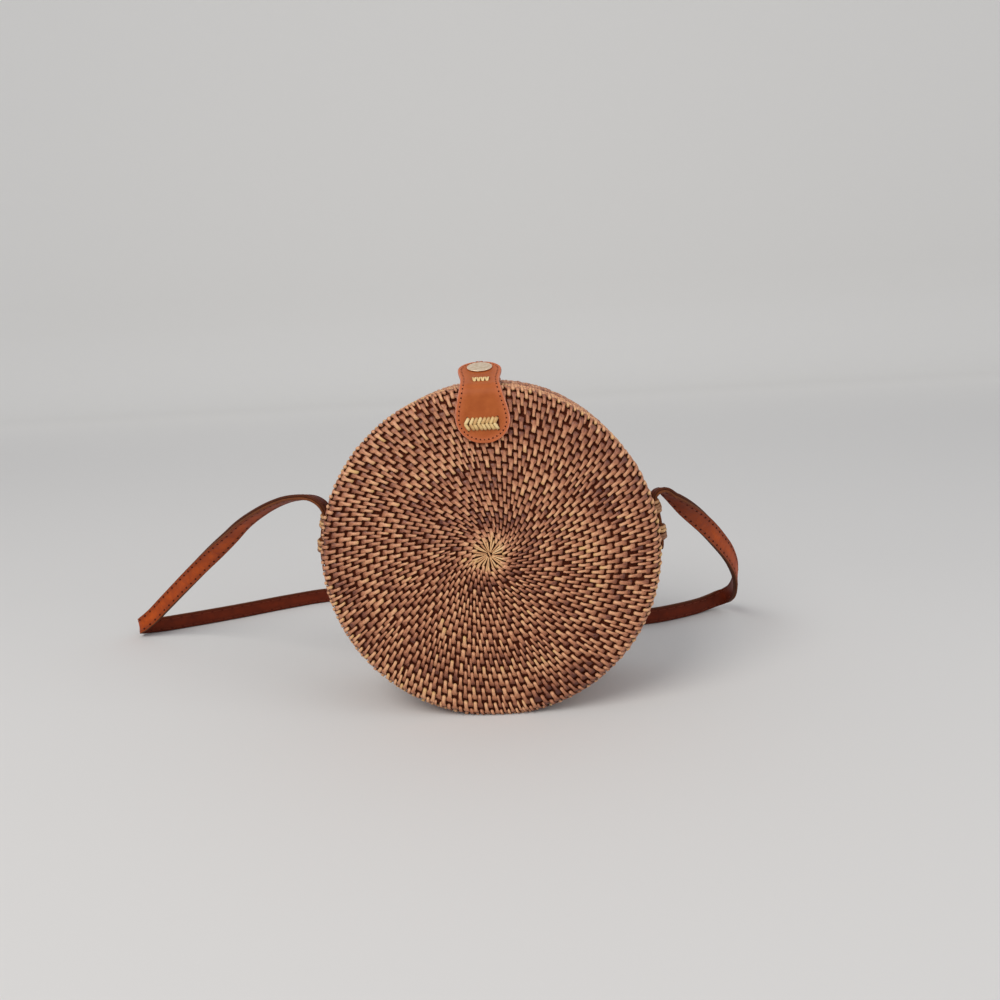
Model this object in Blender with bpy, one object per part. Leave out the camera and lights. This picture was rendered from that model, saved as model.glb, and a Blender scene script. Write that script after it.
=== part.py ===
"""Round rattan crossbody bag.

Two coiled rattan halves meet at a seam and are lashed together at the base.
A leather flap, lashed to the front half, comes over the top and closes on a
press stud that a tab of the rear half carries.  A two-ply leather strap is
held on the side wall by rattan loops and lies behind the bag.

Metres, +Z up.  The origin is the middle of the base, on the seam plane, and
the front faces -Y.
"""
import math

import bmesh
import bpy
from mathutils import Matrix, Vector

# Clearances
GAP = 0.0003
CUT_OVERRUN = 0.001

# Woven halves
BAG_RADIUS = 0.100
EDGE_DEPTH = 0.040
FACE_DOME = 0.002
EDGE_RADIUS = 0.006
WALL = 0.0042
BASE_SAGITTA = 0.001
RIM_WIDTH = 0.0045
RIM_DEPTH = 0.0045
RIM_ROUND = 0.0012
LINING = 0.0010
RING_SIDES = 64
LINING_SIDES = 48
SHARP_ANGLE = math.radians(35)

# Rattan lashings
STRAND = 0.0012
STRAND_INSET = 0.0004
LASH_CORNER = 0.0010
GROOVE_WIDTH = 0.0004
GROOVE_DEPTH = 0.0004
PLAIT_PITCH = 0.0026
PLAIT_LEAN = 0.0033
HINGE_SPAN = 0.0156
HINGE_WIDTH = 0.0070
HINGE_ANGLE = math.radians(18)

# Closing flap
LEATHER = 0.0022
FLAP_BOTTOM = 0.0320
FLAP_MAX_WIDTH = 0.0320
FLAP_END = 0.0135
NECK_WIDTH = 0.0236
NECK_RUN = 0.0060
TONGUE_RISE = math.radians(18)
TONGUE_LENGTH = 0.0300
TONGUE_WIDTH = 0.0266
CHEVRON_DROP = 0.0215
CHEVRON_SPAN = 0.0200
CHEVRON_WIDTH = 0.0086
NECK_LASH_SPAN = 0.0100
NECK_LASH_WIDTH = 0.0034
NECK_LASH_SETBACK = 0.0042

# Press stud
SNAP_SETBACK = 0.0166
CAP_RADIUS = 0.0075
CAP_HEIGHT = 0.0018
CAP_BRIM = 0.0006
SHANK_RADIUS = 0.0014
SOCKET_RADIUS = 0.0045
SOCKET_HEIGHT = 0.0013
SOCKET_BORE = 0.0025
SOCKET_ROOF = 0.0004
STUD_RADIUS = 0.0038
STUD_HEIGHT = 0.0013
STUD_FLANGE = 0.0005
KNOB_RADIUS = 0.0020
POST_RADIUS = 0.0034
POST_HEAD = 0.0006
POST_SHANK = 0.0010
TURN_SIDES = 24

# Rear tab
TAB_LEATHER = 0.0014
TAB_WIDTH = 0.0200
TAB_NOSE = 0.0060
TAB_DROP = 0.0310
TAB_END = 0.0090
TAB_CREST_HEIGHT = 0.0052
TAB_CREST_SETBACK = 0.0040
TAB_LASH_DROP = 0.0210
TAB_LASH_SPAN = 0.0130
TAB_LASH_WIDTH = 0.0080

# Shoulder strap
STRAP_WIDTH = 0.0120
STRAP_PLY = 0.0014
STRAP_LIFT = 0.0005
STRAP_SETBACK = 0.0200
STRAP_END_ROUND = 0.0055
LOOP_WIDTH = 0.0075
LOOP_STRANDS = 4
LOOP_ANGLES = {"upper": math.radians(13.0), "lower": math.radians(3.9)}
TAIL_LOW = math.radians(-2.0)
TAIL_HIGH = math.radians(15.2)

STRAP_TIP_SHARE = 0.3
ROUTE_STEPS = 2

# Hand-chosen routes of the strap's two free runs, each from the upper end of its
# tail to the run behind the bag.  A row holds how far the strap has gone outward
# and backward from that end, as shares of the bag's radius, its height over its
# lying height as a share of the end's, and how far its front edge has turned up.
RIGHT_RUN_SHARES = (
    (0.000, 0.000, 1.020, 0.08),
    (0.013, 0.002, 1.037, 0.14),
    (0.040, 0.011, 1.046, 0.17),
    (0.073, 0.030, 1.040, 0.20),
    (0.114, 0.071, 1.013, 0.27),
    (0.170, 0.140, 0.970, 0.35),
    (0.254, 0.260, 0.898, 0.45),
    (0.352, 0.400, 0.816, 0.54),
    (0.458, 0.560, 0.722, 0.62),
    (0.560, 0.720, 0.622, 0.70),
    (0.668, 0.900, 0.506, 0.78),
    (0.753, 1.070, 0.388, 0.86),
    (0.803, 1.200, 0.287, 0.92),
    (0.826, 1.310, 0.198, 0.96),
    (0.830, 1.415, 0.118, 0.98),
    (0.814, 1.520, 0.060, 1.00),
    (0.757, 1.572, 0.026, 1.00),
    (0.672, 1.545, 0.008, 1.00),
    (0.575, 1.486, 0.001, 1.00),
    (0.371, 1.376, 0.000, 1.00),
    (0.176, 1.300, 0.000, 1.00),
    (-0.083, 1.270, 0.000, 1.00),
    (-0.483, 1.370, 0.000, 1.00),
    (-0.983, 1.680, 0.000, 1.00),
)
LEFT_RUN_SHARES = (
    (0.024, 0.004, 1.050, 0.06),
    (0.077, 0.020, 1.080, 0.13),
    (0.163, 0.070, 1.085, 0.17),
    (0.324, 0.200, 1.053, 0.20),
    (0.511, 0.350, 0.984, 0.25),
    (0.720, 0.520, 0.880, 0.33),
    (0.882, 0.660, 0.776, 0.43),
    (1.049, 0.800, 0.670, 0.54),
    (1.222, 0.940, 0.560, 0.65),
    (1.397, 1.070, 0.444, 0.76),
    (1.579, 1.200, 0.322, 0.86),
    (1.750, 1.300, 0.204, 0.94),
    (1.877, 1.365, 0.115, 0.98),
    (1.967, 1.403, 0.060, 1.00),
    (2.022, 1.433, 0.028, 1.00),
    (2.037, 1.477, 0.009, 1.00),
    (2.002, 1.516, 0.002, 1.00),
    (1.942, 1.535, 0.000, 1.00),
    (1.867, 1.560, 0.000, 1.00),
    (1.597, 1.688, 0.000, 1.00),
    (1.313, 1.837, 0.000, 1.00),
    (0.960, 2.040, 0.000, 1.00),
    (0.654, 2.175, 0.000, 1.00),
    (0.067, 2.220, 0.000, 1.00),
    (-0.483, 2.010, 0.000, 1.00),
)

# Derived places
BAG_CENTRE = BAG_RADIUS - BASE_SAGITTA
BAG_TOP = BAG_CENTRE + BAG_RADIUS
FACE_RADIUS = BAG_RADIUS - EDGE_RADIUS
EDGE_CENTRE = EDGE_DEPTH - EDGE_RADIUS
SHELL_START = GAP / 2 + RIM_WIDTH + GAP
STRAP_THICKNESS = 2 * STRAP_PLY + GAP
STRAP_LYING = STRAP_LIFT + STRAP_WIDTH / 2

RATTAN = ("rattan", (0.30, 0.13, 0.07, 1.0), 0.55, 0.0)
PALE_RATTAN = ("pale_rattan", (0.70, 0.50, 0.22, 1.0), 0.50, 0.0)
TAN_LEATHER = ("tan_leather", (0.50, 0.16, 0.05, 1.0), 0.45, 0.0)
STRAP_LEATHER = ("strap_leather", (0.30, 0.08, 0.03, 1.0), 0.45, 0.0)
LINING_CLOTH = ("lining_cloth", (0.55, 0.42, 0.30, 1.0), 0.90, 0.0)
BRASS = ("brass", (0.72, 0.55, 0.30, 1.0), 0.30, 1.0)


def clear_scene():
    """Remove every object that the file opened with."""
    for item in list(bpy.data.objects):
        bpy.data.objects.remove(item, do_unlink=True)


def finish_of(kind):
    """Return the material of a finish, made once."""
    name, colour, roughness, metallic = kind
    found = bpy.data.materials.get(name)
    if found:
        return found
    made = bpy.data.materials.new(name)
    made.use_nodes = True
    shader = made.node_tree.nodes["Principled BSDF"]
    shader.inputs["Base Color"].default_value = colour
    shader.inputs["Roughness"].default_value = roughness
    shader.inputs["Metallic"].default_value = metallic
    return made


def add_object(name, bm, kind=None, parent=None, matrix=None):
    """Make an object of a bmesh, at a world place, and free the bmesh."""
    bmesh.ops.recalc_face_normals(bm, faces=bm.faces)
    mesh = bpy.data.meshes.new(name)
    bm.to_mesh(mesh)
    bm.free()
    mesh.shade_smooth()
    mesh.set_sharp_from_angle(angle=SHARP_ANGLE)
    item = bpy.data.objects.new(name, mesh)
    bpy.context.collection.objects.link(item)
    world = matrix or Matrix.Identity(4)
    if parent:
        item.parent = parent
        world = Matrix.Translation(-parent.location) @ world
    item.matrix_local = world
    if kind:
        mesh.materials.append(finish_of(kind))
    return item


def add_empty(name, place):
    """Make an empty that a moving body hangs on."""
    item = bpy.data.objects.new(name, None)
    item.location = place
    bpy.context.collection.objects.link(item)
    return item


def cut(target, cutter):
    """Cut one object by another, which stays out of the model."""
    cutter.hide_render = True
    cutter.display_type = "WIRE"
    boolean = target.modifiers.new("cut", "BOOLEAN")
    boolean.operation = "DIFFERENCE"
    boolean.solver = "EXACT"
    boolean.object = cutter


def spin_profile(points, closed, sides):
    """Turn a profile of (radius, height) points about local Z."""
    bm = bmesh.new()
    verts = [bm.verts.new((radius, 0, height)) for radius, height in points]
    pairs = list(zip(verts, verts[1:]))
    if closed:
        pairs.append((verts[-1], verts[0]))
    edges = [bm.edges.new(pair) for pair in pairs]
    bmesh.ops.spin(bm, geom=verts + edges, cent=(0, 0, 0), axis=(0, 0, 1),
                   angle=2 * math.pi, steps=sides, use_merge=True)
    bmesh.ops.remove_doubles(bm, verts=bm.verts, dist=GAP / 100)
    return bm


def box_mesh(low, high):
    """Make a box between two corners."""
    low, high = Vector(low), Vector(high)
    bm = bmesh.new()
    bmesh.ops.create_cube(bm, size=1)
    bmesh.ops.scale(bm, vec=high - low, verts=bm.verts)
    bmesh.ops.translate(bm, vec=(low + high) / 2, verts=bm.verts)
    return bm


def loft(sections):
    """Skin a run of four-cornered sections and close both ends.

    Opposite faces are split along the same diagonal, so that two twisted
    pieces that lie on each other stay parallel.
    """
    bm = bmesh.new()
    rings = [[bm.verts.new(point) for point in section] for section in sections]
    for first, second in zip(rings, rings[1:]):
        for side in range(4):
            follow = (side + 1) % 4
            near, next_near, next_far, far = first[side], first[follow], second[follow], second[side]
            if side < 2:
                bm.faces.new((near, next_near, next_far))
                bm.faces.new((near, next_far, far))
            else:
                bm.faces.new((near, next_near, far))
                bm.faces.new((next_near, next_far, far))
    bm.faces.new(reversed(rings[0]))
    bm.faces.new(rings[-1])
    return bm


def blend_share(value, low, high):
    """Rise smoothly from 0 at low to 1 at high."""
    share = min(max((value - low) / (high - low), 0), 1)
    return share * share * (3 - 2 * share)


def arc_points(centre_r, centre_d, radius, start, stop, steps):
    """Points of a round edge, angles measured from the depth direction."""
    turns = [start + (stop - start) * step / steps for step in range(steps + 1)]
    return [(centre_r + radius * math.sin(turn), centre_d + radius * math.cos(turn))
            for turn in turns]


def face_depth(radius, inset=0):
    """Depth of the domed face from the seam plane at a radius."""
    return EDGE_DEPTH + FACE_DOME * (1 - (radius / FACE_RADIUS) ** 2) - inset


def dish_profile(inset, thickness, start, steps):
    """Profile of a dish whose outside lies inset inside the woven half."""
    outer_round = EDGE_RADIUS - inset
    inner_round = max(outer_round - thickness, GAP)
    face_share = [step / steps for step in range(steps + 1)]
    outside = [(FACE_RADIUS * share, face_depth(FACE_RADIUS * share, inset))
               for share in face_share[:-1]]
    outside += arc_points(FACE_RADIUS, EDGE_CENTRE, outer_round, 0, math.pi / 2, steps)
    outside.append((BAG_RADIUS - inset, start))
    inner = inset + thickness
    inside = [(BAG_RADIUS - inner, start)]
    inner_centre = BAG_RADIUS - inner - inner_round
    inner_depth = face_depth(FACE_RADIUS, inner) - inner_round
    inside += arc_points(inner_centre, inner_depth, inner_round, math.pi / 2, 0, 2)
    inside += [(FACE_RADIUS * share, face_depth(FACE_RADIUS * share, inner))
               for share in reversed(face_share[:-1])]
    return outside + inside


def rim_profile():
    """Profile of the mouth coil, a square with its corners taken off."""
    low_r, high_r = BAG_RADIUS - RIM_DEPTH, BAG_RADIUS
    low_d, high_d = GAP / 2, GAP / 2 + RIM_WIDTH
    cut_back = RIM_ROUND
    return [(low_r + cut_back, low_d), (high_r - cut_back, low_d),
            (high_r, low_d + cut_back), (high_r, high_d - cut_back),
            (high_r - cut_back, high_d), (low_r + cut_back, high_d),
            (low_r, high_d - cut_back), (low_r, low_d + cut_back)]


def half_matrix(side):
    """Place a dish turned about Z: side -1 is the front, +1 the rear."""
    turn = Matrix.Rotation(-side * math.pi / 2, 4, "X")
    return Matrix.Translation((0, 0, BAG_CENTRE)) @ turn


def rounded_rectangle(half_x, low_z, high_z, corner):
    """Outline of a rectangle with rounded corners, in X and Z."""
    steps = 2
    corners = ((half_x, high_z, 0), (-half_x, high_z, 1), (-half_x, low_z, 2), (half_x, low_z, 3))
    points = []
    for x, z, quarter in corners:
        centre_x = x - math.copysign(corner, x)
        centre_z = z - corner if z == high_z else z + corner
        for step in range(steps + 1):
            turn = (quarter + step / steps) * math.pi / 2
            points.append((centre_x + corner * math.cos(turn),
                           centre_z + corner * math.sin(turn)))
    return points


def lashing_mesh(span, out, depth, width, strand=STRAND, grow=0, overrun=0):
    """A lashing: a flat ring through a wall, local Z out of the wall.

    span is its length along X outside, out and depth how far it stands out of
    the wall's face and how far it reaches in, and width its size along Y.
    """
    outer = rounded_rectangle(span / 2 + grow, -depth - grow - overrun, out + grow,
                              LASH_CORNER + grow)
    inner = rounded_rectangle(span / 2 - strand - grow, -depth + strand + grow,
                              out - strand, LASH_CORNER / 2)
    half = width / 2 + grow
    bm = bmesh.new()
    sides = []
    for y in (-half, half):
        sides.append([[bm.verts.new((x, y, z)) for x, z in ring] for ring in (outer, inner)])
    count = len(outer)
    for step in range(count):
        follow = (step + 1) % count
        (near_out, near_in), (far_out, far_in) = sides
        bm.faces.new((near_out[step], near_out[follow], near_in[follow], near_in[step]))
        bm.faces.new((far_out[step], far_in[step], far_in[follow], far_out[follow]))
        bm.faces.new((near_out[step], far_out[step], far_out[follow], near_out[follow]))
        bm.faces.new((near_in[step], near_in[follow], far_in[follow], far_in[step]))
    return bm


def add_lashing(name, sizes, matrix, targets, parent=None):
    """Make a lashing and cut its way through what it is laced through."""
    cutter = add_object(name + "_way", lashing_mesh(**sizes, grow=GAP, overrun=CUT_OVERRUN),
                        matrix=matrix)
    for target in targets:
        cut(target, cutter)
    return add_object(name, lashing_mesh(**sizes), PALE_RATTAN, parent, matrix)


def groove_mesh(outlines, top):
    """Prisms over flat outlines, as deep as a groove in a face at height top."""
    bm = bmesh.new()
    for outline in outlines:
        rings = [[bm.verts.new((x, y, z)) for x, y in outline]
                 for z in (top - GROOVE_DEPTH, top + CUT_OVERRUN)]
        for step, low in enumerate(rings[0]):
            follow = (step + 1) % len(outline)
            bm.faces.new((low, rings[0][follow], rings[1][follow], rings[1][step]))
        bm.faces.new(reversed(rings[0]))
        bm.faces.new(rings[1])
    return bm


def plait_grooves(lashing, sizes, matrix):
    """Cut the lines of a plait, chevrons that point along -X, into a lashing."""
    span, reach = sizes["span"], sizes["width"] / 2 + CUT_OVERRUN
    lean = PLAIT_LEAN * reach / (sizes["width"] / 2)
    outlines = []
    for index in range(int((span - PLAIT_LEAN) / PLAIT_PITCH)):
        tip = PLAIT_PITCH * (index + 0.5) - span / 2
        near, far = tip + lean, tip + lean + GROOVE_WIDTH
        outlines.append([(tip, 0), (near, -reach), (far, -reach), (tip + GROOVE_WIDTH, 0),
                         (far, reach), (near, reach)])
    cut(lashing, add_object(lashing.name + "_lines", groove_mesh(outlines, sizes["out"]),
                            matrix=matrix))


def strand_grooves(lashing, sizes, matrix, strands):
    """Cut the lines between the parallel strands of a lashing."""
    reach = sizes["span"] / 2 + CUT_OVERRUN
    outlines = []
    for index in range(1, strands):
        middle = sizes["width"] * (index / strands - 0.5)
        low, high = middle - GROOVE_WIDTH / 2, middle + GROOVE_WIDTH / 2
        outlines.append([(-reach, low), (reach, low), (reach, high), (-reach, high)])
    cut(lashing, add_object(lashing.name + "_lines", groove_mesh(outlines, sizes["out"]),
                            matrix=matrix))


def frame_matrix(place, x_axis, z_axis):
    """Matrix of a local frame from its origin, X and Z directions."""
    x_axis, z_axis = Vector(x_axis).normalized(), Vector(z_axis).normalized()
    y_axis = z_axis.cross(x_axis)
    turn = Matrix((x_axis, y_axis, z_axis)).transposed()
    return Matrix.Translation(place) @ turn.to_4x4()


def build_half(name, side, parent=None):
    """The woven shell, mouth coil and lining of one half."""
    matrix = half_matrix(side)
    shell = add_object(name + "_shell", spin_profile(
        dish_profile(0, WALL, SHELL_START, 4), False, RING_SIDES), RATTAN, parent, matrix)
    rim = add_object(name + "_rim", spin_profile(rim_profile(), True, RING_SIDES),
                     RATTAN, parent, matrix)
    lining = add_object(name + "_lining", spin_profile(
        dish_profile(WALL + GAP, LINING, SHELL_START, 2), False, LINING_SIDES),
        LINING_CLOTH, parent, matrix)
    floor = box_mesh((-BAG_RADIUS, -BAG_RADIUS, -BAG_RADIUS), (BAG_RADIUS, BAG_RADIUS, 0))
    floor_cutter = add_object(name + "_floor", floor)
    cut(shell, floor_cutter)
    cut(rim, floor_cutter)
    return shell, rim, lining


def side_frame(angle, side):
    """Frame on the side wall at an angle above the centre: X along the depth."""
    out = Vector((side * math.cos(angle), 0, math.sin(angle)))
    place = Vector((0, -STRAP_SETBACK, BAG_CENTRE)) + BAG_RADIUS * out
    return frame_matrix(place, (0, 1, 0), out)


def build_strap_loops(shell):
    """Four rattan loops that hold the strap's tails on the side wall."""
    sizes = {"span": STRAP_WIDTH + 2 * (GAP + STRAND),
             "out": GAP + STRAP_THICKNESS + GAP + STRAND,
             "depth": WALL - STRAND_INSET, "width": LOOP_WIDTH}
    for side, side_name in ((1, "right"), (-1, "left")):
        for level, angle in LOOP_ANGLES.items():
            matrix = side_frame(angle, side)
            loop = add_lashing("strap_loop_" + side_name + "_" + level, sizes, matrix, [shell])
            strand_grooves(loop, sizes, matrix, LOOP_STRANDS)


def build_hinges(targets):
    """Two lashings round the mouth coils at the base, joining the halves."""
    depth = RIM_DEPTH + GAP + STRAND
    sizes = {"span": HINGE_SPAN, "out": GAP + STRAND, "depth": depth, "width": HINGE_WIDTH}
    for side, side_name in ((1, "right"), (-1, "left")):
        out = Vector((side * math.sin(HINGE_ANGLE), 0, -math.cos(HINGE_ANGLE)))
        place = Vector((0, 0, BAG_CENTRE)) + BAG_RADIUS * out
        add_lashing("hinge_lashing_" + side_name, sizes,
                    frame_matrix(place, (0, 1, 0), out), targets)


class EdgePath:
    """Centre line of a leather piece that lies on a face and turns over the top."""

    def __init__(self, side, thickness, drop, rise):
        """Start drop below the top edge's centre and end rising at rise."""
        self.side = side
        self.offset = GAP + thickness / 2
        self.slope = FACE_DOME / FACE_RADIUS * (2 - drop / FACE_RADIUS)
        self.drop = drop
        self.rise = rise
        self.round = EDGE_RADIUS + self.offset
        self.lean = math.atan(self.slope)
        self.turn = math.pi / 2 - rise - self.lean
        self.arc = self.round * self.turn

    def edge_point(self, lean):
        """Point of the turned part at an angle from the face's direction."""
        y = self.side * (EDGE_CENTRE + self.round * math.cos(lean))
        z = BAG_CENTRE + FACE_RADIUS + self.round * math.sin(lean)
        return Vector((0, y, z))

    def direction(self, lean):
        """Direction of travel at that angle."""
        return Vector((0, -self.side * math.sin(lean), math.cos(lean)))

    def at(self, length):
        """Point and direction at a length from the lower end."""
        if length < self.drop:
            ahead = self.direction(self.lean)
            return self.edge_point(self.lean) - ahead * (self.drop - length), ahead
        lean = self.lean + min((length - self.drop) / self.round, self.turn)
        past = max(length - self.drop - self.arc, 0)
        ahead = self.direction(lean)
        return self.edge_point(lean) + ahead * past, ahead


def slab_section(place, ahead, side, half_width, half_thickness):
    """Four corners of a leather section across X."""
    across = Vector((1, 0, 0))
    normal = ahead.cross(across) * side
    corners = ((-1, -1), (1, -1), (1, 1), (-1, 1))
    return [place + across * half_width * x + normal * half_thickness * n for x, n in corners]


def round_end(end, half_width, steps=6):
    """Lengths and half widths of an elliptical end."""
    turns = [math.pi / 2 * (step + 1) / (steps + 1) for step in range(steps + 1)]
    return [(end * (1 - math.cos(turn)), half_width * math.sin(turn)) for turn in turns]


def flap_half_width(length, neck_length):
    """Half width of the lashed part of the flap at a length from its end."""
    narrowing = blend_share(length, FLAP_END, neck_length)
    return FLAP_MAX_WIDTH / 2 + (NECK_WIDTH - FLAP_MAX_WIDTH) / 2 * narrowing


def build_flap_panel(shell):
    """The part of the flap that is lashed to the front, up to the bend."""
    drop = BAG_CENTRE + FACE_RADIUS - (BAG_TOP - FLAP_BOTTOM)
    path = EdgePath(-1, LEATHER, drop, TONGUE_RISE)
    hinge_length = drop + path.arc + NECK_RUN
    end = hinge_length - LEATHER / 2 - GAP
    neck_length = hinge_length - NECK_LASH_SETBACK
    lengths = [length for length, _ in round_end(FLAP_END, FLAP_MAX_WIDTH / 2)]
    widths = [width for _, width in round_end(FLAP_END, FLAP_MAX_WIDTH / 2)]
    straight = [FLAP_END + (drop - FLAP_END) * step / 3 for step in (1, 2, 3)]
    turned = [drop + path.arc * step / 5 for step in (1, 2, 3, 4, 5)]
    for length in straight + turned + [end]:
        lengths.append(length)
        widths.append(flap_half_width(length, neck_length))
    sections = []
    for length, width in zip(lengths, widths):
        place, ahead = path.at(length)
        sections.append(slab_section(place, ahead, -1, width, LEATHER / 2))
    panel = add_object("flap_panel", loft(sections), TAN_LEATHER)
    chevron_place, chevron_ahead = path.at(drop - (CHEVRON_DROP - EDGE_RADIUS))
    chevron_normal = chevron_ahead.cross(Vector((-1, 0, 0)))
    chevron_base = chevron_place - chevron_normal * path.offset
    chevron_sizes = {"span": CHEVRON_SPAN, "out": GAP + LEATHER + GAP + STRAND,
                     "depth": WALL - STRAND_INSET, "width": CHEVRON_WIDTH}
    chevron_matrix = frame_matrix(chevron_base, (1, 0, 0), chevron_normal)
    plait = add_lashing("flap_lower_lashing", chevron_sizes, chevron_matrix, [panel, shell])
    plait_grooves(plait, chevron_sizes, chevron_matrix)
    neck_place, neck_ahead = path.at(neck_length)
    neck_normal = neck_ahead.cross(Vector((-1, 0, 0)))
    wall_depth = (neck_place.z - BAG_TOP + WALL) / neck_normal.z
    add_lashing("flap_neck_lashing", {
        "span": NECK_LASH_SPAN, "out": LEATHER / 2 + GAP + STRAND,
        "depth": wall_depth - STRAND_INSET, "width": NECK_LASH_WIDTH},
        frame_matrix(neck_place, (1, 0, 0), neck_normal), [panel, shell])
    hinge_place, hinge_ahead = path.at(hinge_length)
    return hinge_place, hinge_ahead


def tongue_half_width(length):
    """Half width of the flap's free part at a length from the bend."""
    widen = blend_share(length, 0, TONGUE_LENGTH - TONGUE_WIDTH / 2)
    return (NECK_WIDTH + (TONGUE_WIDTH - NECK_WIDTH) * widen) / 2


def build_tongue(place, ahead, pivot):
    """The flap's free part, with a round root on the bend's axis."""
    sections = []
    steps = 3
    nose = LEATHER / 2
    for step in range(steps):
        turn = math.pi / 2 * (step + 0.5) / steps
        back = -nose * math.cos(turn)
        sections.append(slab_section(place + ahead * back, ahead, -1,
                                     tongue_half_width(0), nose * math.sin(turn)))
    bulb = TONGUE_WIDTH / 2
    straight_end = TONGUE_LENGTH - bulb
    for step in range(5):
        length = straight_end * step / 4
        sections.append(slab_section(place + ahead * length, ahead, -1,
                                     tongue_half_width(length), nose))
    for length, width in reversed(round_end(bulb, bulb)[:-1]):
        sections.append(slab_section(place + ahead * (TONGUE_LENGTH - length), ahead, -1,
                                     width, nose))
    return add_object("flap_tongue", loft(sections), TAN_LEATHER, pivot)


def turned_piece(name, points, closed, matrix, parent):
    """A brass piece turned about the stud's axis."""
    return add_object(name, spin_profile(points, closed, TURN_SIDES), BRASS, parent, matrix)


def build_snap_upper(place, ahead, pivot, tongue):
    """The cap on the flap and the socket under it, on one shank."""
    normal = ahead.cross(Vector((-1, 0, 0)))
    matrix = frame_matrix(place + ahead * SNAP_SETBACK, (1, 0, 0), normal)
    seat = LEATHER / 2 + GAP
    shank_end = -seat - SOCKET_ROOF
    dome = [(CAP_RADIUS * math.sin(turn), seat + CAP_BRIM
             + (CAP_HEIGHT - CAP_BRIM) * math.cos(turn))
            for turn in [math.pi / 2 * step / 4 for step in range(5)]]
    turned_piece("snap_cap", dome + [(CAP_RADIUS, seat), (SHANK_RADIUS, seat),
                                     (SHANK_RADIUS, shank_end), (0, shank_end)],
                 False, matrix, pivot)
    hole = SHANK_RADIUS + GAP
    top, low = -seat, -seat - SOCKET_HEIGHT
    turned_piece("snap_socket", [(hole, top), (SOCKET_RADIUS, top), (SOCKET_RADIUS, low),
                                 (SOCKET_BORE, low), (SOCKET_BORE, top - SOCKET_ROOF),
                                 (hole, top - SOCKET_ROOF)],
                 True, matrix, pivot)
    drill = spin_profile([(0, seat), (hole, seat), (hole, -seat), (0, -seat)], False, TURN_SIDES)
    cut(tongue, add_object("snap_cap_hole", drill, matrix=matrix))
    return matrix


def tab_path(stud_matrix):
    """Centre line of the rear tab from its nose under the flap to its end."""
    ahead = (stud_matrix.to_3x3() @ Vector((0, -1, 0))).normalized()
    if ahead.y < 0:
        ahead = -ahead
    centre = stud_matrix.translation
    edge = EdgePath(1, TAB_LEATHER, TAB_DROP - EDGE_RADIUS, 0)
    crest = Vector((0, TAB_CREST_SETBACK, BAG_TOP + TAB_CREST_HEIGHT))
    rear_top = edge.edge_point(math.pi / 2)
    start = centre - ahead * TAB_NOSE
    return start, centre, ahead, crest, rear_top, edge


def hermite(start, start_way, stop, stop_way, share):
    """Point and direction of a smooth curve between two points."""
    s2, s3 = share ** 2, share ** 3
    place = (start * (2 * s3 - 3 * s2 + 1) + start_way * (s3 - 2 * s2 + share)
             + stop * (3 * s2 - 2 * s3) + stop_way * (s3 - s2))
    way = (start * (6 * s2 - 6 * share) + start_way * (3 * s2 - 4 * share + 1)
           + stop * (6 * share - 6 * s2) + stop_way * (3 * s2 - 2 * share))
    return place, way.normalized()


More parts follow.
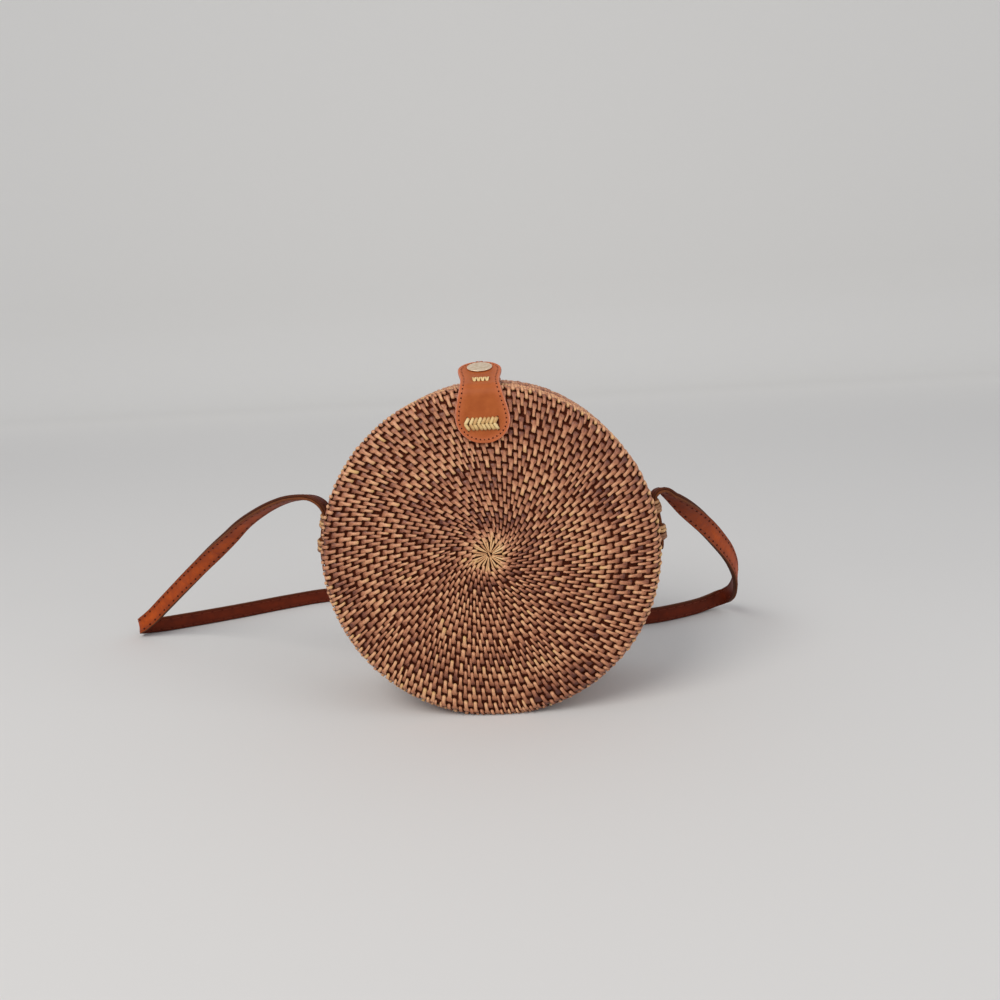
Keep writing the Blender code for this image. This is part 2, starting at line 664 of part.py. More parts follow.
def build_rear_tab(snap_matrix, shell, pivot):
    """The rear half's tab, the stud and post on it, and its lashing."""
    stack = LEATHER / 2 + GAP + SOCKET_HEIGHT + GAP + STUD_HEIGHT + GAP + TAB_LEATHER / 2
    matrix = snap_matrix @ Matrix.Translation((0, 0, -stack))
    start, centre, ahead, crest, rear_top, edge = tab_path(matrix)
    half = TAB_WIDTH / 2
    sections = []
    for length, width in round_end(TAB_NOSE, half):
        sections.append((start + ahead * length, ahead, width))
    level = Vector((0, 1, 0))
    first = (crest - centre).length
    for step in range(1, 4):
        place, way = hermite(centre, ahead * first, crest, level * first, step / 3)
        sections.append((place, way, half))
    second = (rear_top - crest).length
    for step in range(1, 5):
        place, way = hermite(crest, level * second, rear_top, level * second, step / 4)
        sections.append((place, way, half))
    for step in range(1, 5):
        lean = math.pi / 2 + (edge.lean - math.pi / 2) * step / 4
        sections.append((edge.edge_point(lean), -edge.direction(lean), half))
    down = -edge.direction(edge.lean)
    corner = edge.edge_point(edge.lean)
    for length, width in reversed(round_end(TAB_END, half)):
        sections.append((corner + down * (edge.drop - length), down, width))
    tab = add_object("rear_tab", loft([slab_section(place, way, 1, width, TAB_LEATHER / 2)
                                       for place, way, width in sections]),
                     TAN_LEATHER, pivot)
    lash_ahead = edge.direction(edge.lean)
    lash_normal = lash_ahead.cross(Vector((1, 0, 0)))
    lash_base = corner + down * (TAB_LASH_DROP - EDGE_RADIUS) - lash_normal * edge.offset
    lash_sizes = {"span": TAB_LASH_SPAN, "out": GAP + TAB_LEATHER + GAP + STRAND,
                  "depth": WALL - STRAND_INSET, "width": TAB_LASH_WIDTH}
    lash_matrix = frame_matrix(lash_base, (1, 0, 0), lash_normal)
    plait = add_lashing("rear_tab_lashing", lash_sizes, lash_matrix, [tab, shell], pivot)
    plait_grooves(plait, lash_sizes, lash_matrix)
    seat = TAB_LEATHER / 2 + GAP
    hole = POST_SHANK + GAP
    post_top = seat + STUD_FLANGE
    turned_piece("snap_stud", [(hole, seat), (STUD_RADIUS, seat),
                               (STUD_RADIUS, seat + STUD_FLANGE),
                               (KNOB_RADIUS, seat + STUD_FLANGE),
                               (KNOB_RADIUS, seat + STUD_HEIGHT),
                               (hole, seat + STUD_HEIGHT)], True, matrix, pivot)
    turned_piece("snap_post", [(0, -seat - POST_HEAD), (POST_RADIUS, -seat - POST_HEAD),
                               (POST_RADIUS, -seat), (POST_SHANK, -seat),
                               (POST_SHANK, post_top), (0, post_top)], False, matrix, pivot)
    drill = spin_profile([(0, seat), (hole, seat), (hole, -seat), (0, -seat)], False, TURN_SIDES)
    cut(tab, add_object("snap_post_hole", drill, matrix=matrix))


def tail_point(angle, side):
    """Centre of the strap's tail on the side wall at an angle."""
    radius = BAG_RADIUS + GAP + STRAP_THICKNESS / 2
    return Vector((side * radius * math.cos(angle), -STRAP_SETBACK,
                   BAG_CENTRE + radius * math.sin(angle)))


def strap_half(side, run_shares):
    """Points of one tail and its free run, each with its turn share."""
    angles = [TAIL_LOW + (TAIL_HIGH - TAIL_LOW) * step / 4 for step in range(5)]
    places = [(tail_point(angle, side), 0) for angle in angles]
    end = places[-1][0]
    for out, back, height, turn in run_shares:
        places.append((Vector((end.x + side * out * BAG_RADIUS, end.y + back * BAG_RADIUS,
                               STRAP_LYING + height * (end.z - STRAP_LYING))), turn))
    return places


def strap_line():
    """Smooth curve through the strap's points, each with its turn share."""
    left = strap_half(-1, LEFT_RUN_SHARES)
    controls = strap_half(1, RIGHT_RUN_SHARES) + left[::-1]
    line = []
    for index in range(len(controls) - 1):
        before = controls[max(index - 1, 0)][0]
        start, start_share = controls[index]
        stop, stop_share = controls[index + 1]
        after = controls[min(index + 2, len(controls) - 1)][0]
        length = (stop - start).length
        way_in = (stop - before).normalized() * length
        way_out = (after - start).normalized() * length
        for step in range(ROUTE_STEPS):
            share = step / ROUTE_STEPS
            place, way = hermite(start, way_in, stop, way_out, share)
            line.append((place, way, start_share + (stop_share - start_share) * share))
    last = controls[-1][0]
    line.append((last, (last - controls[-2][0]).normalized(), 0))
    return line


def tail_half_width(length, total):
    """Half width of the strap, rounded off at both tails."""
    near = min(length, total - length)
    if near >= STRAP_END_ROUND:
        return STRAP_WIDTH / 2
    back = 1 - near / STRAP_END_ROUND
    return STRAP_WIDTH / 2 * math.sqrt(max(1 - back ** 2, STRAP_TIP_SHARE ** 2))


def build_strap():
    """The strap's two plies along one route, the inner one next to the bag."""
    line = strap_line()
    lengths = [0.0]
    for (first, _, _), (second, _, _) in zip(line, line[1:]):
        lengths.append(lengths[-1] + (second - first).length)
    total = lengths[-1]
    offset = (STRAP_PLY + GAP) / 2
    for name, shift in (("strap_outer_ply", offset), ("strap_inner_ply", -offset)):
        sections = []
        for (place, way, share), length in zip(line, lengths):
            edge = Vector((0, share - 1, share))
            edge = (edge - way * edge.dot(way)).normalized()
            normal = way.cross(edge)
            half = tail_half_width(length, total)
            centre = place + normal * shift
            corners = ((-1, -1), (1, -1), (1, 1), (-1, 1))
            sections.append([centre + edge * half * e + normal * STRAP_PLY / 2 * n
                             for e, n in corners])
        add_object(name, loft(sections), STRAP_LEATHER)
    print("strap length", round(total, 3), "m")


def main():
    """Build the whole bag."""
    clear_scene()
    lid_pivot = add_empty("lid_pivot", (0, 0, 0))
    front_shell, front_rim, front_lining = build_half("front", -1)
    rear_shell, rear_rim, rear_lining = build_half("rear", 1, lid_pivot)
    build_strap_loops(front_shell)
    build_hinges([front_shell, front_lining, rear_shell, rear_lining])
    hinge_place, hinge_ahead = build_flap_panel(front_shell)
    flap_pivot = add_empty("flap_pivot", hinge_place)
    bpy.context.view_layer.update()
    tongue = build_tongue(hinge_place, hinge_ahead, flap_pivot)
    snap_matrix = build_snap_upper(hinge_place, hinge_ahead, flap_pivot, tongue)
    build_rear_tab(snap_matrix, rear_shell, lid_pivot)
    build_strap()
    print("flap axis", tuple(round(value, 5) for value in hinge_place))


main()
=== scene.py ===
"""Looks of a round rattan crossbody bag, made round its fixed frame.

Every piece is laid in metres in the frame's own axes: the origin is the middle
of the base on the seam plane, the front faces -Y and +Z is up.
"""
from __future__ import annotations

import bisect
import logging
import math
import random
from dataclasses import dataclass, field
from enum import Enum
from typing import Callable, Sequence

import bmesh
import bpy
from mathutils import Matrix, Vector, noise

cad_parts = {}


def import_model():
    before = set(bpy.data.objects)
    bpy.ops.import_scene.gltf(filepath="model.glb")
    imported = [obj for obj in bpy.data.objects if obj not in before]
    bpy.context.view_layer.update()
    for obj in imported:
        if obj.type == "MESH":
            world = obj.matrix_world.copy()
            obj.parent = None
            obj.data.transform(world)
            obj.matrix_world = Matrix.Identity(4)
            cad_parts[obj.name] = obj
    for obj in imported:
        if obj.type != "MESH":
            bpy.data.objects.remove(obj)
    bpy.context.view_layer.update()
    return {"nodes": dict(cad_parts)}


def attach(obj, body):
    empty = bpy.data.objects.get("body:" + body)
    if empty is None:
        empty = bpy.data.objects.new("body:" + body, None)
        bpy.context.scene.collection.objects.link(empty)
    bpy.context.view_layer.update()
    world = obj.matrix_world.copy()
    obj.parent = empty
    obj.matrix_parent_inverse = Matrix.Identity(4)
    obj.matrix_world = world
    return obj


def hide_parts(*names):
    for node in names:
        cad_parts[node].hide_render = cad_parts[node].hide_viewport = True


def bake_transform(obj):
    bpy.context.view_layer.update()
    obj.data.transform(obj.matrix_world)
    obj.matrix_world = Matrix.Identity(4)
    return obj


LOG = logging.getLogger("rattan_bag")
MM = 0.001
SEED = 7
FULL_TURN = 2 * math.pi
ACROSS = Vector((1, 0, 0))
MERGE = 0.01 * MM
SIDES = ((1, "right"), (-1, "left"))
Colour = tuple[float, float, float]
Placer = Callable[[float, float, float], Vector]
PathPoint = tuple[Vector, Vector, Vector]


class Body(Enum):
    """Bodies of the frame that the pieces ride on."""

    FRONT = "front_half"
    REAR = "rear_half"
    FLAP = "flap"


def srgb(seen: Sequence[float]) -> tuple[float, ...]:
    """Turn a colour as it is seen, 0 to 255, into shader values.

    Args:
        seen: Red, green and blue.

    Returns:
        The linear colour with full alpha.
    """
    shares = [value / 255 for value in seen]
    return (*(share / 12.92 if share <= 0.04045 else ((share + 0.055) / 1.055) ** 2.4
              for share in shares), 1.0)


class Link:
    """A shader socket that takes part in Python expressions."""

    def __init__(self, graph: Graph, socket: bpy.types.NodeSocket) -> None:
        """Wrap one output socket."""
        self.graph = graph
        self.socket = socket

    def other(self, output: str) -> Link:
        """Return another output of the same node."""
        return Link(self.graph, self.socket.node.outputs[output])

    def math(self, operation: str, *values: Link | float) -> Link:
        """Put the socket through a Math node with further values."""
        return self.graph.math(operation, self, *values)

    def __add__(self, value: Link | float) -> Link:
        """Add a value."""
        return self.math("ADD", value)

    __radd__ = __add__

    def __sub__(self, value: Link | float) -> Link:
        """Take a value off."""
        return self.math("SUBTRACT", value)

    def __rsub__(self, value: Link | float) -> Link:
        """Take the socket off a value."""
        return self.graph.math("SUBTRACT", value, self)

    def __mul__(self, value: Link | float) -> Link:
        """Multiply by a value."""
        return self.math("MULTIPLY", value)

    def __truediv__(self, value: Link | float) -> Link:
        """Divide by a value."""
        return self.math("DIVIDE", value)

    def __pow__(self, value: Link | float) -> Link:
        """Raise to a power."""
        return self.math("POWER", value)


class Graph:
    """A material's node tree, built from expressions."""

    def __init__(self, name: str) -> None:
        """Start a material with a bare Principled shader."""
        self.material = bpy.data.materials.new(name)
        self.material.use_nodes = True
        self.tree = self.material.node_tree
        self.shader = self.tree.nodes["Principled BSDF"]

    def feed(self, socket: bpy.types.NodeSocket, value: object) -> None:
        """Link or set an input socket."""
        if isinstance(value, Link):
            self.tree.links.new(value.socket, socket)
        else:
            socket.default_value = value

    def node(self, kind: str, inputs: dict[str | int, object] | None = None,
             output: str | int = 0, **settings: object) -> Link:
        """Make a node.

        Args:
            kind: Type name of the node.
            inputs: Values or links of its sockets.
            output: Output that the returned link stands for.
            settings: Properties that are set before the sockets.

        Returns:
            A link to the chosen output.
        """
        made = self.tree.nodes.new(kind)
        for key, value in settings.items():
            setattr(made, key, value)
        for key, value in (inputs or {}).items():
            self.feed(made.inputs[key], value)
        return Link(self, made.outputs[output])

    def math(self, operation: str, *values: Link | float) -> Link:
        """Make a Math node of values or links."""
        return self.node("ShaderNodeMath", dict(enumerate(values)), operation=operation)

    def mix(self, share: Link | float, first: object, second: object,
            blend: str = "MIX") -> Link:
        """Mix two colours by a share."""
        return self.node("ShaderNodeMix", {0: share, 6: first, 7: second}, 2,
                         data_type="RGBA", blend_type=blend)

    def ramp(self, value: Link, *stops: tuple[float, Colour]) -> Link:
        """Turn a value into a colour by places and colours as they are seen."""
        made = self.node("ShaderNodeValToRGB", {0: value})
        elements = made.socket.node.color_ramp.elements
        while len(elements) < len(stops):
            elements.new(1.0)
        for element, (place, seen) in zip(elements, stops):
            element.position = place
            element.color = srgb(seen)
        return made

    def noise(self, vector: Link, scale: float, detail: float = 4.0,
              roughness: float = 0.6) -> Link:
        """Make a noise value between 0 and 1."""
        return self.node("ShaderNodeTexNoise", {
            "Vector": vector, "Scale": scale, "Detail": detail, "Roughness": roughness})

    def streaks(self, x: Link, y: Link, z: Link) -> Link:
        """Make a noise value from three values that are scaled already."""
        return self.noise(self.node("ShaderNodeCombineXYZ", {0: x, 1: y, 2: z}), 1.0, 3.0)

    def marks(self, name: str) -> tuple[Link, Link, Link, Link]:
        """Read the four channels of a colour attribute of the piece's own mesh."""
        colour = self.node("ShaderNodeAttribute", output="Color", attribute_name=name)
        parts = self.node("ShaderNodeSeparateColor", {0: colour})
        return parts, parts.other("Green"), parts.other("Blue"), colour.other("Alpha")

    def place(self) -> Link:
        """Return the piece's own coordinates in metres."""
        return self.node("ShaderNodeTexCoord", output="Object")

    def bump(self, height: Link, strength: float, distance: float) -> None:
        """Feed a height to the shader's normal."""
        self.feed(self.shader.inputs["Normal"], self.node("ShaderNodeBump", {
            "Strength": strength, "Distance": distance, "Height": height}, "Normal"))

    def set(self, **values: object) -> None:
        """Set or link the shader's sockets, with _ for a space in a name."""
        for key, value in values.items():
            self.feed(self.shader.inputs[key.replace("_", " ")], value)


@dataclass(frozen=True)
class Finish:
    """A material that is painted by its own recipe."""

    name: str

    def build(self) -> bpy.types.Material:
        """Build the material."""
        graph = Graph(self.name)
        self.paint(graph)
        return graph.material

    def paint(self, graph: Graph) -> None:
        """Make the nodes, which each kind of finish does in its own way."""
        raise NotImplementedError


@dataclass(frozen=True)
class RattanFinish(Finish):
    """Split rattan whose tone changes from strand to strand."""

    tones: tuple[Colour, ...]
    shade: float
    head_highlight_and_wear: float = 0.0
    roughness: float = 0.48
    shadow: Colour = (96, 52, 30)

    def paint(self, graph: Graph) -> None:
        """Colour each strand by its own tone and grain, with painted shade on its sides and tail
        end, and a lighter head that is partly wear and partly painted highlight.
        """
        tone, along, across, seed = graph.marks("strand")
        fibre = graph.streaks(across * 5 + seed * 57, along * 2 + seed * 23, seed * 91)
        blotch = graph.streaks(across * 2 + seed * 31, along * 5 + seed * 17, seed * 11)
        # Heads are painted lighter and tails darker: partly wear, partly painted highlight and
        # shade.
        level = tone + (fibre - 0.5) * 0.7 + (blotch - 0.5) * 0.55 + (0.35 - along) * self.head_highlight_and_wear
        step = 1 / (len(self.tones) - 1)
        colour = graph.ramp(level, *((index * step, seen) for index, seen in enumerate(self.tones)))
        # Painted shade: each strand's sides and its tail end are darkened towards the shadow
        # colour.
        side = (across - 0.5).math("ABSOLUTE") * 2
        rim = side ** 3 * self.shade + along ** 6 * self.shade * 0.6
        dark = graph.mix(1.0, colour, srgb(self.shadow), "MULTIPLY")
        graph.set(Base_Color=graph.mix(rim.math("MINIMUM", 1.0), colour, dark),
                  Roughness=self.roughness + (fibre - 0.5) * 0.25)
        graph.bump(fibre, 0.55, 0.12 * MM)


@dataclass(frozen=True)
class CoreFinish(Finish):
    """Dark finish painted as shade: the cane core that shows between the strands, and the awl holes
    and slits.
    """

    low: Colour
    high: Colour

    def paint(self, graph: Graph) -> None:
        """Colour the dark finish, painted shade, by its grain."""
        grain = graph.noise(graph.place(), 900.0)
        graph.set(Base_Color=graph.ramp(grain, (0.3, self.low), (0.8, self.high)),
                  Roughness=0.8, Specular_IOR_Level=0.1)
        graph.bump(grain, 0.5, 0.2 * MM)


@dataclass(frozen=True)
class LeatherFinish(Finish):
    """Smooth leather with a border tone, a sewn groove, a burnished cut edge and painted shade on
    its ends.

    Attributes:
        middle: Colour of the smooth leather.
        patch: Colour of its darker patches.
        border: Colour beside the cut edge.
        cut: Colour of the cut edge and of the groove.
        end_shade: Colour of the ends, painted as shade where the strap turns away from the light.
        groove: How far the groove lies in from the edge, in millimetres.
        crease: How strongly the groove shows.
        roughness: Roughness of the face.
        shine: Specular level.
    """

    middle: Colour
    patch: Colour
    border: Colour
    cut: Colour
    end_shade: Colour = (84, 34, 18)
    groove: float = 2.1
    crease: float = 0.45
    roughness: float = 0.46
    shine: float = 0.22

    def paint(self, graph: Graph) -> None:
        """Colour the leather by its distance from its edge, with painted shade on its ends."""
        place = graph.place()
        inward, face, end_shade, _ = graph.marks("leather")
        patches = graph.noise(place, 90.0, 3.0, 0.55)
        cloud = graph.noise(place, 340.0, 4.0, 0.65)
        pores = graph.noise(place, 2600.0, 3.0, 0.7)
        level = patches * 0.7 + cloud * 0.45 - 0.08
        colour = graph.ramp(level, (0.30, self.patch), (0.62, self.middle))
        # Painted shade: the strap's ends darken near the bag, where it turns away from the light.
        colour = graph.mix(end_shade * 0.6, colour, srgb(self.end_shade))
        near = (1 - inward / 0.6).math("MAXIMUM", 0.0) ** 1.3
        colour = graph.mix((near * 0.75).math("MINIMUM", 1.0), colour, srgb(self.border))
        line = (1 - (inward - self.groove / 10).math("ABSOLUTE") * 14).math("MAXIMUM", 0.0)
        colour = graph.mix(line * self.crease, colour, srgb(self.cut))
        worn = tuple(value * 1.35 for value in self.cut)
        colour = graph.mix(1 - face, colour, graph.ramp(cloud, (0.3, self.cut), (0.8, worn)))
        graph.set(Base_Color=colour, Specular_IOR_Level=self.shine,
                  Roughness=self.roughness + (cloud - 0.5) * 0.3 + (1 - face) * 0.12)
        graph.bump(pores * 0.5 + cloud * 0.5 - line * (self.crease * 3), 0.5, 0.16 * MM)


@dataclass(frozen=True)
class ClothFinish(Finish):
    """Plain woven cotton."""

    colour: Colour
    dark: Colour
    threads: float = 9000.0

    def paint(self, graph: Graph) -> None:
        """Colour the cotton by warp and weft waves on the cloth's own map."""
        place = graph.node("ShaderNodeAttribute", output="Vector", attribute_name="cloth")
        cloth = graph.node("ShaderNodeSeparateXYZ", {0: place})
        warp = (cloth * self.threads).math("SINE")
        weft = (cloth.other("Y") * self.threads).math("SINE")
        cross = (warp * weft) * 0.5 + 0.5
        slub = graph.noise(graph.place(), 500.0)
        graph.set(Base_Color=graph.ramp(cross * 0.6 + slub * 0.4, (0.25, self.dark),
                                        (0.75, self.colour)),
                  Roughness=0.92, Sheen_Weight=0.25)
        graph.bump(cross + slub * 0.5, 0.4, 0.12 * MM)


@dataclass(frozen=True)
class MetalFinish(Finish):
    """Pale brushed brass with faint wear."""

    colour: Colour
    worn: Colour

    def paint(self, graph: Graph) -> None:
        """Colour the brass by its wear and scratches."""
        place = graph.place()
        wear = graph.noise(place, 420.0, 4.0, 0.65)
        scratch = graph.noise(place, 3800.0, 2.0, 0.7)
        graph.set(Base_Color=graph.ramp(wear, (0.35, self.worn), (0.6, self.colour)),
                  Metallic=0.7, Roughness=0.34 + wear * 0.14 + scratch * 0.08)
        graph.bump(scratch, 0.15, 0.05 * MM)


@dataclass(frozen=True)
class ThreadFinish(Finish):
    """Waxed sewing thread with a visible twist."""

    colour: Colour
    dark: Colour

    def paint(self, graph: Graph) -> None:
        """Colour the thread by the stitches' own attribute."""
        _, along, across, _ = graph.marks("strand")
        twist = ((along * 2.5 + across) * 2 * math.pi).math("SINE") * 0.5 + 0.5
        graph.set(Base_Color=graph.mix(twist, srgb(self.dark), srgb(self.colour)),
                  Roughness=0.6)
        graph.bump(twist, 0.4, 0.1 * MM)


@dataclass(frozen=True)
class StageFinish(Finish):
    """Plain pale floor and backdrop, whose far part looks paler to the camera alone."""

    colour: Colour
    glow: Colour

    def paint(self, graph: Graph) -> None:
        """Colour the stage and light its far part up."""
        far = graph.node("ShaderNodeSeparateXYZ", {0: graph.place()}, "Y")
        share = graph.node("ShaderNodeMapRange", {"Value": far, "From Min": 0.25,
                                                  "From Max": 2.6})
        seen = graph.node("ShaderNodeLightPath", output="Is Camera Ray")
        graph.set(Base_Color=srgb(self.colour), Roughness=0.85, Emission_Strength=1.0,
                  Emission_Color=graph.mix(share * seen, (0, 0, 0, 1), srgb(self.glow)))


BROWN = RattanFinish("smoked_rattan", ((94, 45, 32), (148, 88, 61), (190, 126, 89),
                                       (224, 166, 123), (216, 172, 109)), 0.40, head_highlight_and_wear=0.50)
HONEY = RattanFinish("honey_rattan", ((140, 84, 50), (206, 148, 98), (236, 186, 130),
                                      (246, 208, 158)), 0.60)
GOLD = RattanFinish("golden_rattan", ((150, 96, 52), (200, 152, 92), (226, 188, 124),
                                      (236, 206, 148)), 0.35)
AMBER = RattanFinish("amber_rattan", ((112, 66, 40), (164, 112, 72), (204, 156, 104),
                                      (224, 186, 128)), 0.45)
# Painted shade: the core's dark colour stands for the shade in the gaps and holes between the
# strands.
CORE_SHADE = CoreFinish("core_painted_shade", (58, 20, 10), (110, 50, 28))
# Painted shade: dark strips laid over the awl holes and slits stand for the shade in them.
HOLE_SHADE = CoreFinish("awl_hole_painted_shade", (60, 14, 6), (92, 30, 14))
TAN = LeatherFinish("tan_leather_hide", middle=(174, 90, 40), patch=(158, 76, 30),
                    border=(202, 110, 68), cut=(170, 106, 84), crease=0.25)
STRAP = LeatherFinish("strap_leather_face", middle=(188, 80, 20), patch=(144, 54, 15),
                      border=(132, 56, 20), cut=(92, 50, 26), groove=2.0, crease=0.12,
                      roughness=0.54, shine=0.12)
# Darker copy of the strap leather for the inner ply: painted shade for its faces that lie in shade.
STRAP_SHADED = LeatherFinish("strap_leather_back_shaded", middle=(110, 40, 18), patch=(86, 29, 13),
                           border=(80, 30, 15), cut=(70, 34, 18), groove=2.0, crease=0.12,
                           roughness=0.54, shine=0.12)
TAN_THREAD = ThreadFinish("tan_thread", (212, 122, 74), (176, 88, 46))
STRAP_THREAD = ThreadFinish("strap_thread", (150, 62, 20), (128, 50, 16))
COTTON = ClothFinish("lining_cotton", (176, 146, 108), (128, 98, 66))
BRASS = MetalFinish("pale_brass", (246, 226, 200), (224, 198, 162))
STAGE = StageFinish("pale_stage", (214, 212, 209), (118, 117, 114))


def make_object(name: str, bm: bmesh.types.BMesh, material: bpy.types.Material
                ) -> bpy.types.Object:
    """Turn a bmesh into a shown piece at the origin.

    Args:
        name: Name of the piece.
        bm: Its geometry in place, freed here.
        material: Its only material.

    Returns:
        The new object, its faces turned outwards.
    """
    bmesh.ops.recalc_face_normals(bm, faces=bm.faces)
    mesh = bpy.data.meshes.new(name)
    bm.to_mesh(mesh)
    bm.free()
    mesh.shade_smooth()
    mesh.materials.append(material)
    piece = bpy.data.objects.new(name, mesh)
    bpy.context.scene.collection.objects.link(piece)
    LOG.info("%s: %d faces", name, len(mesh.polygons))
    return piece


def settle(piece: bpy.types.Object, body: Body, slot: str, *replaced: str) -> None:
    """Tell the frame which body a piece rides on, and hide the nodes it stands for."""
    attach(piece, body.value)
    if replaced:
        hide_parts(*replaced)


def unit_tube(sides: int, rings: int) -> bmesh.types.BMesh:
    """Make a closed tube along Z from 0 to 1, one across, cut into rings lengths."""
    bm = bmesh.new()
    bmesh.ops.create_cone(bm, cap_ends=True, segments=sides, radius1=0.5, radius2=0.5, depth=1)
    long_edges = [edge for edge in bm.edges
                  if abs(edge.verts[0].co.z - edge.verts[1].co.z) > 0.5]
    bmesh.ops.subdivide_edges(bm, edges=long_edges, cuts=rings - 1)
    bmesh.ops.translate(bm, vec=(0, 0, 0.5), verts=bm.verts)
    return bm


def spun(points: Sequence[tuple[float, float, float]], axis: tuple[int, int, int], steps: int,
         closed: bool = False) -> bmesh.types.BMesh:
    """Spin a profile round an axis through the origin.

    Args:
        points: The profile.
        axis: The axis.
        steps: Steps of the spin.
        closed: Whether the profile's last point joins its first.

    Returns:
        The spun form.
    """
    bm = bmesh.new()
    verts = [bm.verts.new(point) for point in points]
    ends = verts[1:] + (verts[:1] if closed else [])
    edges = [bm.edges.new(pair) for pair in zip(verts, ends)]
    bmesh.ops.spin(bm, geom=verts + edges, cent=(0, 0, 0), axis=axis, angle=FULL_TURN,
                   steps=steps, use_merge=True)
    bmesh.ops.remove_doubles(bm, verts=bm.verts, dist=MERGE)
    return bm


def clamp(value: float, low: float = 0.0, high: float = 1.0) -> float:
    """Keep a value between two limits."""
    return min(max(value, low), high)


def ease(value: float, low: float = 0.0, high: float = 1.0) -> float:
    """Rise smoothly from 0 at low to 1 at high."""
    share = clamp((value - low) / (high - low))
    return share * share * (3 - 2 * share)


def squared(cosine: float, sine: float, power: float) -> float:
    """Return the scale that moves a circle's point onto a rounded square."""
    return (abs(cosine) ** power + abs(sine) ** power) ** (-1 / power)


def round_end(half: float, near: float, size: float) -> float:
    """Return the half width at a distance from the tip of an elliptical end."""
    return half * math.sqrt(max(1 - (1 - near / size) ** 2, 0)) if near < size else half


def between(points: Sequence[tuple[float, float]], value: float) -> float:
    """Return a size in metres from places and sizes in millimetres."""
    size = value / MM
    for (low, first), (high, second) in zip(points, points[1:]):
        if size <= high:
            return (first + (second - first) * max(size - low, 0) / (high - low)) * MM
    return points[-1][1] * MM


def hermite(start: Vector, start_way: Vector, stop: Vector, stop_way: Vector,
            share: float) -> tuple[Vector, Vector]:
    """Return the point and direction of a smooth curve between two points."""
    s2, s3 = share ** 2, share ** 3
    place = (start * (2 * s3 - 3 * s2 + 1) + start_way * (s3 - 2 * s2 + share)
             + stop * (3 * s2 - 2 * s3) + stop_way * (s3 - s2))
    way = (start * (6 * s2 - 6 * share) + start_way * (3 * s2 - 4 * share + 1)
           + stop * (6 * share - 6 * s2) + stop_way * (3 * s2 - 2 * share))
    return place, way.normalized()


@dataclass
class Strand:
    """One rattan strand or stitch, laid by a function of its own.

    Attributes:
        lay: Place for a share along, and metres across and up.
        width: Width at the head.
        tail: Width at the tail.
        thick: Thickness at the head.
        tone: Tone between 0 and 1.
        seed: Random share that its grain starts from.
        nose: Share of the length over which the ends are rounded off.
        spread: Shares along between which the head's width turns into the tail's.
    """

    lay: Placer
    width: float
    tail: float
    thick: float
    tone: float
    seed: float
    nose: float
    spread: tuple[float, float] = (0.0, 1.0)

    def sizes(self, along: float) -> tuple[float, float]:
        """Return the full width and thickness at a share along."""
        near = min(along / self.nose, (1 - along) / self.nose, 1.0)
        round_off = math.sqrt(1 - (1 - near) ** 2) * 0.75 + 0.25
        share = ease(along, *self.spread)
        width = self.width + (self.tail - self.width) * share
        thick = self.thick * (1 - 0.3 * share)
        return width * round_off, thick * round_off


class StrandBatch:
    """Copies one strand form many times and lays each copy."""

    SQUARE = 3.0

    def __init__(self, rings: int = 7, sides: int = 6, stations: Sequence[float] = ()) -> None:
        """Build the unit form: a tube of few sides along Z from 0 to 1.

        Args:
            rings: How many lengths it is cut into.
            sides: How many sides it has.
            stations: Shares along of its rings, where they are given.
        """
        stations = stations or [(1 - math.cos(math.pi * ring / rings)) / 2
                                for ring in range(rings + 1)]
        rings = len(stations) - 1
        bm = unit_tube(sides, rings)
        self.form = bpy.data.meshes.new("strand_form")
        bm.to_mesh(self.form)
        bm.free()
        points = [(vert.co * (0.5 * squared(vert.co.x, vert.co.y, self.SQUARE)),
                   round(vert.co.z * rings)) for vert in self.form.vertices]
        widest = max(point.x for point, _ in points)
        self.points = [(point.x / widest / 2, point.y, stations[ring])
                       for point, ring in points]

    def build(self, name: str, strands: Sequence[Strand],
              material: bpy.types.Material) -> bpy.types.Object:
        """Lay a batch of strands as one piece.

        Args:
            name: Name of the piece.
            strands: The strands.
            material: Their finish.

        Returns:
            The new object.
        """
        bm = bmesh.new()
        for _ in strands:
            bm.from_mesh(self.form)
        marks = bm.verts.layers.float_color.new("strand")
        bm.verts.ensure_lookup_table()
        count = len(self.points)
        for index, strand in enumerate(strands):
            start = index * count
            for vert, (x, y, along) in zip(bm.verts[start:start + count], self.points):
                width, thick = strand.sizes(along)
                vert.co = strand.lay(along, x * width, y * thick)
                vert[marks] = (strand.tone, along, x + 0.5, strand.seed)
        return make_object(name, bm, material)


class Kit:
    """Strand forms and materials that the pieces share."""

    def __init__(self) -> None:
        """Build each form and each material once."""
        self.batch = StrandBatch()
        self.stitch = StrandBatch(rings=5, sides=5)
        self.woven = StrandBatch(sides=8, stations=(0, 0.02, 0.07, 0.30, 0.56, 0.73, 0.94, 1))
        self.brown, self.honey = BROWN.build(), HONEY.build()
        self.gold, self.amber = GOLD.build(), AMBER.build()
        # The core and hole finishes are painted shade.
        self.core, self.hole = CORE_SHADE.build(), HOLE_SHADE.build()
        self.tan, self.strap, self.strap_shaded_back = TAN.build(), STRAP.build(), STRAP_SHADED.build()
        self.tan_thread, self.strap_thread = TAN_THREAD.build(), STRAP_THREAD.build()
        self.cotton, self.brass = COTTON.build(), BRASS.build()


